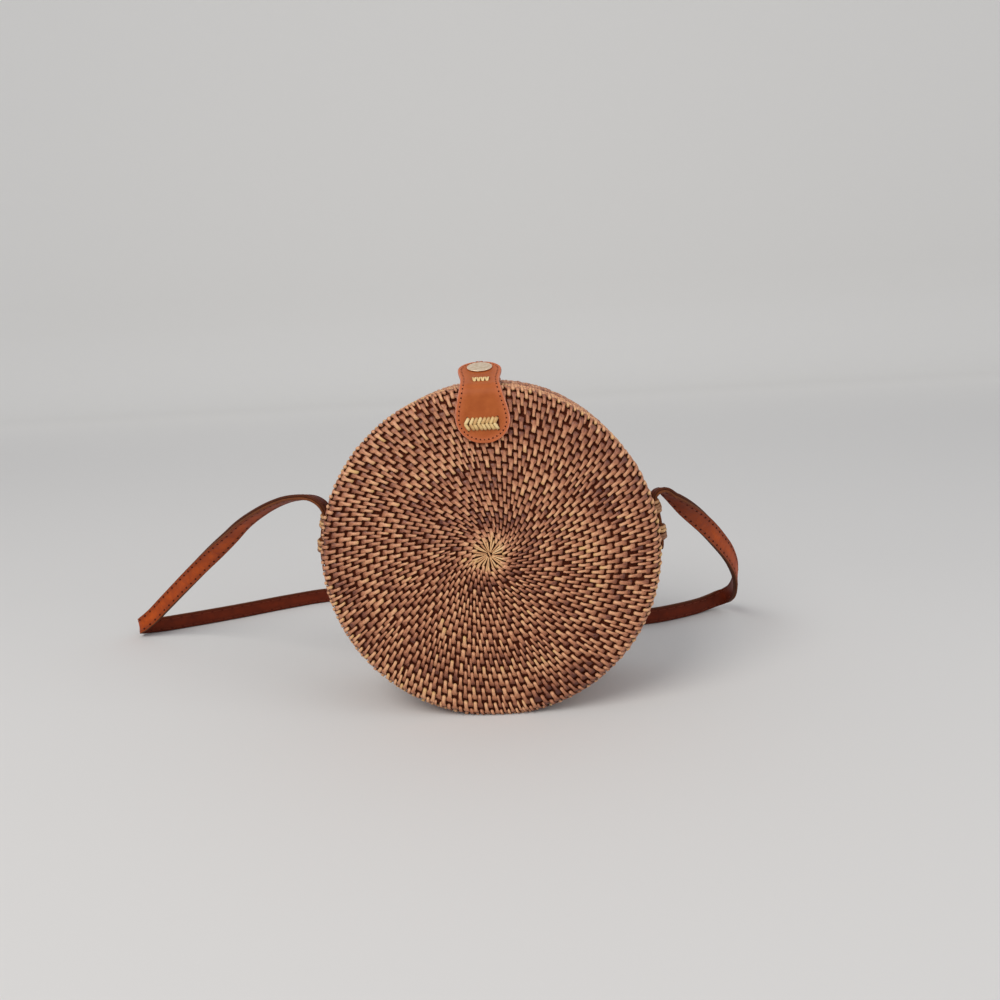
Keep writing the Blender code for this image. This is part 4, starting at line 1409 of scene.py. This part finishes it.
@dataclass
class ClosingFlap:
    """Stitched leather flap, its lashings and the cap of its press stud.

    Its sizes along the leather are named from its lower end, its bend or its plait.
    """

    form: HalfForm
    kit: Kit
    leather: float = 2.2 * MM
    bottom: float = 32.0 * MM
    max_width: float = 31.0 * MM
    end: float = 13.5 * MM
    neck_width: float = 22.4 * MM
    neck_run: float = 6.0 * MM
    neck_setback: float = 4.2 * MM
    bend_before: float = 2.2 * MM
    bend_after: float = 5.0 * MM
    rise: float = math.radians(18)
    tongue: float = 30.0 * MM
    tongue_width: float = 25.8 * MM
    skew: float = 3.0 * MM
    skew_middle: float = 0.34
    steps: int = 240
    stitch: float = 2.5 * MM
    seam: float = 2.1 * MM
    chevrons: int = 7
    chevron_drop: float = 20.9 * MM
    chevron_span: float = 18.0 * MM
    chevron_width: float = 7.2 * MM
    chevron_shift: float = -0.5 * MM
    neck_lash_count: int = 8
    neck_lash_shift: float = 0.6 * MM
    neck_lash_lean: float = 0.7 * MM
    neck_lash_setback: float = 1.0 * MM
    neck_lash_span: float = 9.6 * MM
    neck_lash_length: float = 6.2 * MM
    cap_setback: float = 16.6 * MM
    cap_advance: float = 1.9 * MM
    cap_radius: float = 7.5 * MM
    cap_height: float = 0.75 * MM
    cap_roll: float = 0.34 * MM
    cap_sides: int = 64
    post_radius: float = 1.4 * MM
    gap: float = 0.3 * MM

    def __post_init__(self) -> None:
        """Lay the centre line and find the bend."""
        form = self.form
        drop = form.centre + form.face_radius - (form.centre + form.radius - self.bottom)
        self.path = EdgePath(-1, self.leather, drop, self.rise, form)
        self.bend = drop + self.path.arc + self.neck_run
        self.total = self.bend + self.tongue
        points = []
        for length in (self.total * step / self.steps for step in range(self.steps + 1)):
            place, ahead = self.path.at(length)
            points.append((place + ACROSS * self.drift(length), ahead, ACROSS))
        self.hide = Hide(Route(points), self.half_width, self.leather, self.seam, self.end,
                         groove=0.08 * MM, corner=0.7 * MM)

    def drift(self, length: float) -> float:
        """Return how far the flap lies to the side there: it hangs a little askew."""
        return self.skew * (self.skew_middle - length / self.total)

    def half_width(self, length: float) -> float:
        """Return the flap's half width at a length from its lower end."""
        neck, bulb = self.bend - self.neck_setback, self.tongue_width / 2
        if length < self.end:
            return round_end(self.max_width / 2, length, self.end)
        if length < neck:
            share = ease(length, self.end, neck)
            return (self.max_width + (self.neck_width - self.max_width) * share) / 2
        if length > self.total - bulb:
            return round_end(bulb, self.total - length, bulb)
        share = ease(length, self.bend, self.total - bulb)
        return (self.neck_width + (self.tongue_width - self.neck_width) * share) / 2

    def settle(self, piece: bpy.types.Object, slot: str, *replaced: str) -> None:
        """Bake the piece's transform into its mesh and hide the nodes it stands for."""
        place, ahead = self.path.at(self.bend)
        tuple(place - ahead * self.bend_before)
        tuple(place + ahead * self.bend_after)
        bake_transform(piece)
        if replaced:
            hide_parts(*replaced)

    def build(self) -> None:
        """Build every piece of the flap."""
        self.panel()
        self.lashings()
        self.cap()

    def panel(self) -> None:
        """Cut the leather and sew round its edge."""
        kit = self.kit
        panel = self.hide.build("flap_leather", kit.tan)
        self.settle(panel, "tan_leather", "flap_panel", "flap_tongue")
        seam = Seam(self.stitch, 0.5 * MM, 0.85 * MM, kit.tan_thread)
        for sewn in self.hide.sew("flap", (1, -1), seam, kit, random.Random(SEED * 11)):
            self.settle(sewn, "tan_leather")

    def neck_stitch(self, index: int, draw: random.Random) -> Strand:
        """Make one stitch of the neck, which leans to its neighbour."""
        x = self.neck_lash_shift + self.neck_lash_span * ((index + 0.5) / self.neck_lash_count
                                                          - 0.5)
        lean = self.neck_lash_lean * (1 if index % 2 else -1)

        def lay(along: float, across: float, up: float) -> Vector:
            """Lay the stitch over the neck."""
            hump = math.sin(math.pi * (0.08 + 0.84 * along)) ** 0.5
            return self.hide.point(
                self.bend - self.neck_lash_setback + (along - 0.5) * self.neck_lash_length,
                x + lean * (along - 0.5) + across,
                self.leather / 2 + up + 1.25 * MM * hump - 0.55 * MM)

        return Strand(lay, 1.15 * MM, 1.25 * MM, 0.9 * MM, draw.gauss(0.8, 0.12), draw.random(),
                      0.12)

    def lashings(self) -> None:
        """Lace the chevron plait and the neck stitches."""
        draw = random.Random(SEED * 13)
        batch, half = self.kit.batch, self.chevron_span / 2
        middle = self.path.drop - (self.chevron_drop - self.form.edge_radius)

        def on_flap(x: float, y: float, up: float) -> Vector:
            """Return a place over the flap's face, beside the plait's middle."""
            return self.hide.point(middle + y, self.chevron_shift + x, self.leather / 2 + up)

        plait = Plait(on_flap, self.chevron_span, self.chevron_width)
        strands = plait.chevrons(self.chevrons, draw) + plait.knots(half - 1.6 * MM, draw)
        settle(batch.build("flap_plait", strands, self.kit.gold), Body.FRONT, "pale_rattan",
               "flap_lower_lashing")
        stitches = [self.neck_stitch(index, draw) for index in range(self.neck_lash_count)]
        self.settle(batch.build("neck_stitches", stitches, self.kit.gold), "pale_rattan",
                    "flap_neck_lashing")
        # Thin dark strips painted as the shadow where the plait goes through the leather.
        cuts = [plait.slit_shadow(-half + 1.0 * MM, 1.4 * MM, 1.1 * MM),
                plait.slit_shadow(half - 0.1 * MM, 1.2 * MM, 1.5 * MM)]
        settle(batch.build("flap_slit_shadows", cuts, self.kit.core), Body.FRONT, "tan_leather")

    def stud_matrix(self) -> Matrix:
        """Return the frame of the press stud, Z out of the leather."""
        place, ahead = self.path.at(self.bend)
        normal = ACROSS.cross(ahead)
        turn = Matrix((ACROSS, normal.cross(ACROSS), normal)).transposed()
        return Matrix.Translation(place + ahead * self.cap_setback) @ turn.to_4x4()

    def cap(self) -> None:
        """Turn the stud's flat cap with its rolled brim."""
        radius, roll = self.cap_radius, self.cap_roll
        seat = self.leather / 2 + self.gap
        top = seat + self.cap_height
        profile = [(radius * out, top - down * MM)
                   for out, down in ((0, 0), (0.45, 0.04), (0.80, 0.16), (0.88, 0.24))]
        profile += [(radius - roll + roll * math.sin(turn),
                     seat + roll * 1.05 + roll * math.cos(turn))
                    for turn in (math.radians(value) for value in (0, 25, 50, 75, 95, 120, 150))]
        profile += [(radius - roll * 1.2, seat), (self.post_radius, seat),
                    (self.post_radius, -seat - 0.4 * MM), (0, -seat - 0.4 * MM)]
        bm = spun([(r, 0, z) for r, z in profile], (0, 0, 1), self.cap_sides)
        moved = Matrix.Translation((self.drift(self.bend + self.cap_setback),
                                    self.cap_advance, 0))
        bmesh.ops.transform(bm, matrix=self.stud_matrix() @ moved, verts=bm.verts)
        settle(make_object("stud_cap", bm, self.kit.brass), Body.FLAP, "brass", "snap_cap")


@dataclass
class RearTab:
    """Leather tab on the rear half that carries the stud, and its lashing."""

    flap: ClosingFlap
    leather: float = 1.4 * MM
    width: float = 19.0 * MM
    nose: float = 6.0 * MM
    skew: float = 1.4 * MM
    drop: float = 31.0 * MM
    end: float = 9.0 * MM
    seam: float = 1.4 * MM
    crest_height: float = 4.4 * MM
    crest_setback: float = 4.0 * MM
    steps: int = 12
    chevrons: int = 4
    lash_drop: float = 21.0 * MM
    lash_span: float = 13.0 * MM
    lash_width: float = 8.0 * MM
    stud_stack: float = 0.3 * 3 * MM + 2.6 * MM

    def __post_init__(self) -> None:
        """Lay the centre line from the nose under the flap to the lower end."""
        form, flap = self.flap.form, self.flap
        stack = flap.leather / 2 + self.stud_stack + self.leather / 2
        centre = (flap.stud_matrix() @ Matrix.Translation((0, 0, -stack))).translation
        ahead = flap.path.at(flap.bend)[1]
        self.path = path = EdgePath(1, self.leather, self.drop - form.edge_radius, 0, form)
        crest = Vector((0, self.crest_setback, form.centre + form.radius + self.crest_height))
        rear_top = path.edge_point(math.pi / 2)
        level = Vector((0, 1, 0))
        line = [(centre - ahead * self.nose * (1 - step / 8), ahead) for step in range(8)]
        shares = [step / self.steps for step in range(self.steps)]
        for start, way_in, stop in ((centre, ahead, crest), (crest, level, rear_top)):
            size = (stop - start).length
            line += [hermite(start, way_in * size, stop, level * size, share)
                     for share in shares]
        for share in shares:
            lean = math.pi / 2 + (path.lean - math.pi / 2) * share
            line.append((path.edge_point(lean), -path.direction(lean)))
        corner, down = path.edge_point(path.lean), -path.direction(path.lean)
        line += [(corner + down * path.drop * share, down) for share in shares + [1.0]]
        last = len(line) - 1
        points = [(place - ACROSS * self.skew * (1 - ease(index / last)), way, ACROSS)
                  for index, (place, way) in enumerate(line)]
        self.hide = Hide(Route(points), self.half_width, self.leather, self.seam, self.nose)

    def half_width(self, length: float) -> float:
        """Return the tab's half width at a length from its nose."""
        half = round_end(self.width / 2, length, self.nose)
        return half if length < self.nose else \
            round_end(half, self.hide.route.total - length, self.end)

    def build(self) -> None:
        """Cut, sew and lash the tab."""
        kit, draw = self.flap.kit, random.Random(SEED * 17)
        settle(self.hide.build("rear_tab_leather", kit.tan), Body.REAR, "tan_leather",
               "rear_tab")
        seam = Seam(self.flap.stitch, 0.5 * MM, 0.7 * MM, kit.tan_thread)
        for sewn in self.hide.sew("rear_tab", (1,), seam, kit, draw):
            settle(sewn, Body.REAR, "tan_leather")
        middle = self.hide.route.total - self.path.drop \
            + (self.lash_drop - self.flap.form.edge_radius)

        def on_tab(x: float, y: float, up: float) -> Vector:
            """Return a place over the tab's face, beside the plait's middle."""
            return self.hide.point(middle + y, x, self.leather / 2 + up)

        plait = Plait(on_tab, self.lash_span, self.lash_width)
        lashing = kit.batch.build("rear_tab_plait", plait.chevrons(self.chevrons, draw), kit.gold)
        settle(lashing, Body.REAR, "pale_rattan", "rear_tab_lashing")
        half = self.lash_span / 2
        # Thin dark strips painted as the shadow where the plait goes through the leather.
        cuts = [plait.slit_shadow(-half + 1.0 * MM, 1.2 * MM, 1.1 * MM),
                plait.slit_shadow(half, 1.2 * MM, 1.2 * MM)]
        settle(kit.batch.build("rear_tab_slit_shadows", cuts, kit.hole), Body.REAR, "tan_leather")


@dataclass
class ShoulderStrap:
    """Two-ply leather strap from one side wall to the other, behind the bag.

    The two tables are the routes of its free runs, each from the upper
    end of its tail: outward and backward as shares of the bag's radius, height over
    the lying height as a share of the end's, and how far its front edge has turned
    up.
    """

    form: HalfForm
    kit: Kit
    width: float = 12.0 * MM
    ply: float = 1.4 * MM
    gap: float = 0.3 * MM
    seam: float = 2.0 * MM
    setback: float = 20.0 * MM
    lift: float = 0.5 * MM
    end_round: float = 5.5 * MM
    tail_low: float = math.radians(-2.0)
    tail_high: float = math.radians(15.2)
    stitch: float = 8.2 * MM
    # The strap's ends are painted darker as shade over this length.
    shaded_end: float = 95.0 * MM
    steps: int = 6
    right_run: tuple[tuple[float, float, float, float], ...] = (
        (0.000, 0.000, 1.020, 0.08), (0.013, 0.002, 1.037, 0.14),
        (0.040, 0.011, 1.046, 0.17), (0.073, 0.030, 1.040, 0.20),
        (0.114, 0.071, 1.013, 0.27), (0.170, 0.140, 0.970, 0.35),
        (0.254, 0.260, 0.898, 0.45), (0.352, 0.400, 0.816, 0.54),
        (0.458, 0.560, 0.722, 0.62), (0.560, 0.720, 0.622, 0.70),
        (0.668, 0.900, 0.506, 0.78), (0.753, 1.070, 0.388, 0.86),
        (0.803, 1.200, 0.287, 0.92), (0.826, 1.310, 0.198, 0.96),
        (0.830, 1.415, 0.118, 0.98), (0.814, 1.520, 0.060, 1.00),
        (0.757, 1.572, 0.026, 1.00), (0.672, 1.545, 0.008, 1.00),
        (0.575, 1.486, 0.001, 1.00), (0.371, 1.376, 0.000, 1.00),
        (0.176, 1.300, 0.000, 1.00), (-0.083, 1.270, 0.000, 1.00),
        (-0.483, 1.370, 0.000, 1.00), (-0.983, 1.680, 0.000, 1.00))
    left_run: tuple[tuple[float, float, float, float], ...] = (
        (0.024, 0.004, 1.050, 0.06), (0.077, 0.020, 1.080, 0.13),
        (0.163, 0.070, 1.085, 0.17), (0.324, 0.200, 1.053, 0.20),
        (0.511, 0.350, 0.984, 0.25), (0.720, 0.520, 0.880, 0.33),
        (0.882, 0.660, 0.776, 0.43), (1.049, 0.800, 0.670, 0.54),
        (1.222, 0.940, 0.560, 0.65), (1.397, 1.070, 0.444, 0.76),
        (1.579, 1.200, 0.322, 0.86), (1.750, 1.300, 0.204, 0.94),
        (1.877, 1.365, 0.115, 0.98), (1.967, 1.403, 0.060, 1.00),
        (2.022, 1.433, 0.028, 1.00), (2.037, 1.477, 0.009, 1.00),
        (2.002, 1.516, 0.002, 1.00), (1.942, 1.535, 0.000, 1.00),
        (1.867, 1.560, 0.000, 1.00), (1.597, 1.688, 0.000, 1.00),
        (1.313, 1.837, 0.000, 1.00), (0.960, 2.040, 0.000, 1.00),
        (0.654, 2.175, 0.000, 1.00), (0.067, 2.220, 0.000, 1.00),
        (-0.483, 2.010, 0.000, 1.00))

    @property
    def thickness(self) -> float:
        """Thickness of both plies with the gap between them."""
        return 2 * self.ply + self.gap

    def half(self, side: int, rows: Sequence[Sequence[float]]) -> list[tuple[Vector, float]]:
        """Return the points of one tail and its free run with their turn shares."""
        size = self.form.radius
        radius = size + self.gap + self.thickness / 2
        places = []
        for step in range(5):
            angle = self.tail_low + (self.tail_high - self.tail_low) * step / 4
            places.append((Vector((side * radius * math.cos(angle), -self.setback,
                                   self.form.centre + radius * math.sin(angle))), 0.0))
        end = places[-1][0]
        lying = self.lift + self.width / 2
        return places + [(Vector((end.x + side * out * size, end.y + back * size,
                                  lying + height * (end.z - lying))), turn)
                         for out, back, height, turn in rows]

    def route(self) -> Route:
        """Return the smooth line through both halves' points."""
        controls = self.half(1, self.right_run) + self.half(-1, self.left_run)[::-1]
        line = []
        for index, ((start, start_share), (stop, stop_share)) in enumerate(
                zip(controls, controls[1:])):
            before = controls[max(index - 1, 0)][0]
            after = controls[min(index + 2, len(controls) - 1)][0]
            length = (stop - start).length
            way_in = (stop - before).normalized() * length
            way_out = (after - start).normalized() * length
            for share in (step / self.steps for step in range(self.steps)):
                line.append((*hermite(start, way_in, stop, way_out, share),
                             start_share + (stop_share - start_share) * share))
        last = controls[-1][0]
        line.append((last, (last - controls[-2][0]).normalized(), 0.0))
        points = []
        for place, way, share in line:
            edge = Vector((0, share - 1, share))
            points.append((place, way, (edge - way * edge.dot(way)).normalized()))
        return Route(points)

    def build(self) -> None:
        """Cut and sew both plies."""
        kit, route, draw = self.kit, self.route(), random.Random(SEED * 19)

        def half_width(length: float) -> float:
            """Return the strap's half width, rounded off at both tails."""
            return round_end(self.width / 2, min(length, route.total - length), self.end_round)

        offset = (self.ply + self.gap) / 2
        # The inner ply gets the darker copy of the strap leather, painted shade.
        for layer, side, leather, thin in (("outer", -1, kit.strap, 0.4 * MM),
                                           ("inner", 1, kit.strap_shaded_back, 0.2 * MM)):
            hide = Hide(route, half_width, self.ply + 0.15 * MM, self.seam, self.end_round,
                        2.2 * MM, side * offset, 0.05 * MM, 0.42 * MM, self.shaded_end)
            settle(hide.build("strap_" + layer + "_leather", leather), Body.FRONT,
                   "strap_leather", "strap_" + layer + "_ply")
            seam = Seam(self.stitch, thin, thin * 3.4, kit.strap_thread, 1.7)
            for sewn in hide.sew("strap_" + layer, (side,), seam, kit, draw):
                settle(sewn, Body.FRONT, "strap_leather")


@dataclass
class SideLoops:
    """Rattan loops that hold the strap's tails on the front half's side wall."""

    strap: ShoulderStrap
    width: float = 7.4 * MM
    wraps: int = 4
    upper: float = math.radians(13.2)
    lower: float = math.radians(4.4)

    def build(self) -> None:
        """Wrap each loop strand by strand."""
        kit, draw = self.strap.kit, random.Random(SEED * 23)
        for side, side_name in SIDES:
            for level, angle in (("upper", self.upper), ("lower", self.lower)):
                strands = [self.wrap(index, angle, side, draw) for index in range(self.wraps)]
                strands.append(self.tie(angle, side, draw))
                name = side_name + "_" + level
                settle(kit.batch.build("strap_wrap_" + name, strands, kit.amber), Body.FRONT,
                       "pale_rattan", "strap_loop_" + name)

    def place(self, angle: float, side: int, deep: float, along: float, off: float) -> Vector:
        """Return a place by depth, height along the wall and distance off the wall."""
        form = self.strap.form
        turned = angle + along / form.radius
        radius = form.radius + off
        return Vector((side * radius * math.cos(turned), -self.strap.setback + deep,
                       form.centre + radius * math.sin(turned)))

    def wrap(self, index: int, angle: float, side: int, draw: random.Random) -> Strand:
        """Return one strand that goes over the strap and into the wall."""
        middle = self.width / self.wraps * (index + 0.5) - self.width / 2
        half = self.strap.width / 2 + self.strap.gap + 0.45 * MM
        top = self.strap.gap * 2 + self.strap.thickness + 0.45 * MM
        skew = draw.gauss(0, 0.35 * MM)
        bulge = (draw.uniform(0.9, 1.6) + 0.8 * (angle == self.lower)) * MM

        def lay(along: float, across: float, up: float) -> Vector:
            """Lay the strand up, over and down."""
            turn = math.pi * (1 - along)
            cosine, sine = math.cos(turn), math.sin(turn)
            size = squared(cosine, sine, 5)
            return self.place(angle, side, (half + up) * size * cosine,
                              middle + across + skew * cosine,
                              (top + up) * size * sine - 0.5 * MM + bulge * sine)

        return Strand(lay, 1.85 * MM, 1.85 * MM, 1.3 * MM, clamp(draw.gauss(0.45, 0.22)),
                      draw.random(), 0.05)

    def tie(self, angle: float, side: int, draw: random.Random) -> Strand:
        """Return the slanting strand that binds the wraps together."""
        top = self.strap.gap * 2 + self.strap.thickness + 1.7 * MM

        def lay(along: float, across: float, up: float) -> Vector:
            """Lay the strand aslant over the wraps."""
            reach = (along - 0.5) * self.width * 0.95
            sink = 1.6 * MM * abs(2 * along - 1) ** 3
            return self.place(angle, side, reach * 0.7 + across, reach, top + up - sink)

        return Strand(lay, 1.4 * MM, 1.4 * MM, 0.8 * MM, draw.uniform(0.4, 0.9), draw.random(),
                      0.1)


@dataclass
class HingeLashings:
    """Lashings round both mouth coils at the base, which join the halves."""

    form: HalfForm
    kit: Kit
    span: float = 15.6 * MM
    width: float = 7.0 * MM
    angle: float = math.radians(18)
    wraps: int = 4
    rim: float = 4.5 * MM
    strand: float = 1.2 * MM
    gap: float = 0.3 * MM
    blend_half: float = 4 * MM

    def build(self) -> None:
        """Wrap both lashings strand by strand."""
        draw = random.Random(SEED * 29)
        for side, side_name in SIDES:
            strands = [self.wrap(index, side, draw) for index in range(self.wraps)]
            piece = self.kit.batch.build("base_wrap_" + side_name, strands, self.kit.amber)
            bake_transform(piece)
            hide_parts("hinge_lashing_" + side_name)

    def wrap(self, index: int, side: int, draw: random.Random) -> Strand:
        """Return one strand right round both mouth coils."""
        form = self.form
        middle = self.width / self.wraps * (index + 0.5) - self.width / 2
        half = self.span / 2 - self.strand / 2
        outer = self.gap + self.strand / 2
        inner = self.rim + self.gap + self.strand / 2
        height, centre = (outer + inner) / 2, (outer - inner) / 2
        skew = draw.gauss(0, 0.3 * MM)

        def lay(along: float, across: float, up: float) -> Vector:
            """Lay the strand round, starting and ending inside the bag."""
            turn = -math.pi / 2 + FULL_TURN * along * 0.995
            cosine, sine = math.cos(turn), math.sin(turn)
            size = squared(cosine, sine, 5)
            turned = self.angle + (middle + across + skew * cosine) / form.radius
            radius = form.radius + centre + (height + up) * size * sine
            return Vector((side * radius * math.sin(turned), (half + up) * size * cosine,
                           form.centre - radius * math.cos(turned)))

        return Strand(lay, 1.7 * MM, 1.7 * MM, 1.0 * MM, clamp(draw.gauss(0.5, 0.15)),
                      draw.random(), 0.03)


@dataclass
class Studio:
    """Pale floor, soft light and the photograph's camera."""

    floor_size: float = 6.0
    sweep_step: float = 0.12
    sweep_turns: int = 6
    focal: float = 28.26
    sensor: float = 36.0
    near: float = 0.01
    stand: tuple[float, float, float] = (0.0264, -0.483, 0.22)
    heading: float = math.radians(92.42)
    down: float = math.radians(11)
    roll: float = math.radians(3)
    aim: tuple[float, float, float] = (0, 0, 0.08)
    room: tuple[float, float, float, float] = (0.93, 0.95, 1, 1)
    room_power: float = 0.55

    def floor(self) -> None:
        """Lay the floor and raise the backdrop in one sweep."""
        bm = bmesh.new()
        bmesh.ops.create_grid(bm, x_segments=1, y_segments=1, size=self.floor_size / 2)
        far = [edge for edge in bm.edges if all(vert.co.y > 0 for vert in edge.verts)]
        moves = []
        for index in range(1, self.sweep_turns + 1):
            angle = math.pi / 2 * index / self.sweep_turns
            moves.append((0, self.sweep_step * math.cos(angle), self.sweep_step * math.sin(angle)))
        for move in moves + [(0, 0, self.floor_size / 2)]:
            made = bmesh.ops.extrude_edge_only(bm, edges=far)["geom"]
            verts = [item for item in made if isinstance(item, bmesh.types.BMVert)]
            bmesh.ops.translate(bm, verts=verts, vec=move)
            far = [item for item in made if isinstance(item, bmesh.types.BMEdge)
                   and all(vert in verts for vert in item.verts)]
        make_object("pale_sweep", bm, STAGE.build())

    def lamp(self, name: str, place: Sequence[float], size: float, power: float,
             colour: tuple[float, float, float]) -> None:
        """Hang one soft area lamp that points at the bag."""
        light = bpy.data.lights.new(name, "AREA")
        light.shape = "DISK"
        light.size = size
        light.energy = power
        light.color = colour
        lamp = bpy.data.objects.new(name, light)
        lamp.location = place
        lamp.rotation_euler = (Vector(self.aim) - Vector(place)).to_track_quat("-Z", "Y").to_euler()
        bpy.context.scene.collection.objects.link(lamp)

    def lights(self) -> None:
        """Light the object plainly and softly."""
        self.lamp("window", (-0.9, -1.3, 1.7), 1.3, 26, (1.0, 0.98, 0.95))
        self.lamp("fill", (1.4, -0.9, 1.0), 1.4, 7, (0.96, 0.98, 1.0))
        world = bpy.data.worlds.new("room")
        world.use_nodes = True
        inputs = world.node_tree.nodes["Background"].inputs
        inputs["Color"].default_value = self.room
        inputs["Strength"].default_value = self.room_power
        bpy.context.scene.world = world

    def camera(self) -> None:
        """Set the camera where the photograph was taken from."""
        lens = bpy.data.cameras.new("photograph")
        lens.lens = self.focal
        lens.sensor_width = self.sensor
        lens.clip_start = self.near
        item = bpy.data.objects.new("photograph", lens)
        ahead = Vector((math.cos(self.heading) * math.cos(self.down),
                        math.sin(self.heading) * math.cos(self.down), -math.sin(self.down)))
        right = ahead.cross(Vector((0, 0, 1))).normalized()
        top = right.cross(ahead)
        turned = right * math.cos(self.roll) - top * math.sin(self.roll)
        raised = right * math.sin(self.roll) + top * math.cos(self.roll)
        turn = Matrix((turned, raised, -ahead)).transposed()
        item.matrix_world = Matrix.Translation(self.stand) @ turn.to_4x4()
        bpy.context.scene.collection.objects.link(item)
        bpy.context.scene.camera = item

    def build(self) -> None:
        """Build the whole set."""
        self.floor()
        self.lights()
        self.camera()


def dress_node(nodes: dict[str, bpy.types.Object], name: str,
               finish: bpy.types.Material) -> None:
    """Give a solid that stays in view its finish."""
    for slot in nodes[name].material_slots:
        slot.material = finish
    LOG.info("%s: dressed", name)


def main() -> None:
    """Build every piece and report each one."""
    logging.basicConfig(level=logging.INFO, format="%(message)s")
    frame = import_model()
    kit = Kit()
    Studio().build()
    for name, body, side in (("front", Body.FRONT, -1), ("rear", Body.REAR, 1)):
        WovenHalf(name, body, side, kit).build()
    form = HalfForm(-1)
    flap = ClosingFlap(form, kit)
    flap.build()
    RearTab(flap).build()
    strap = ShoulderStrap(form, kit)
    strap.build()
    SideLoops(strap).build()
    HingeLashings(form, kit).build()
    for name in ("snap_socket", "snap_stud", "snap_post"):
        dress_node(frame["nodes"], name, kit.brass)
    bpy.context.scene.view_settings.view_transform = "Standard"


if __name__ == "__main__":
    main()
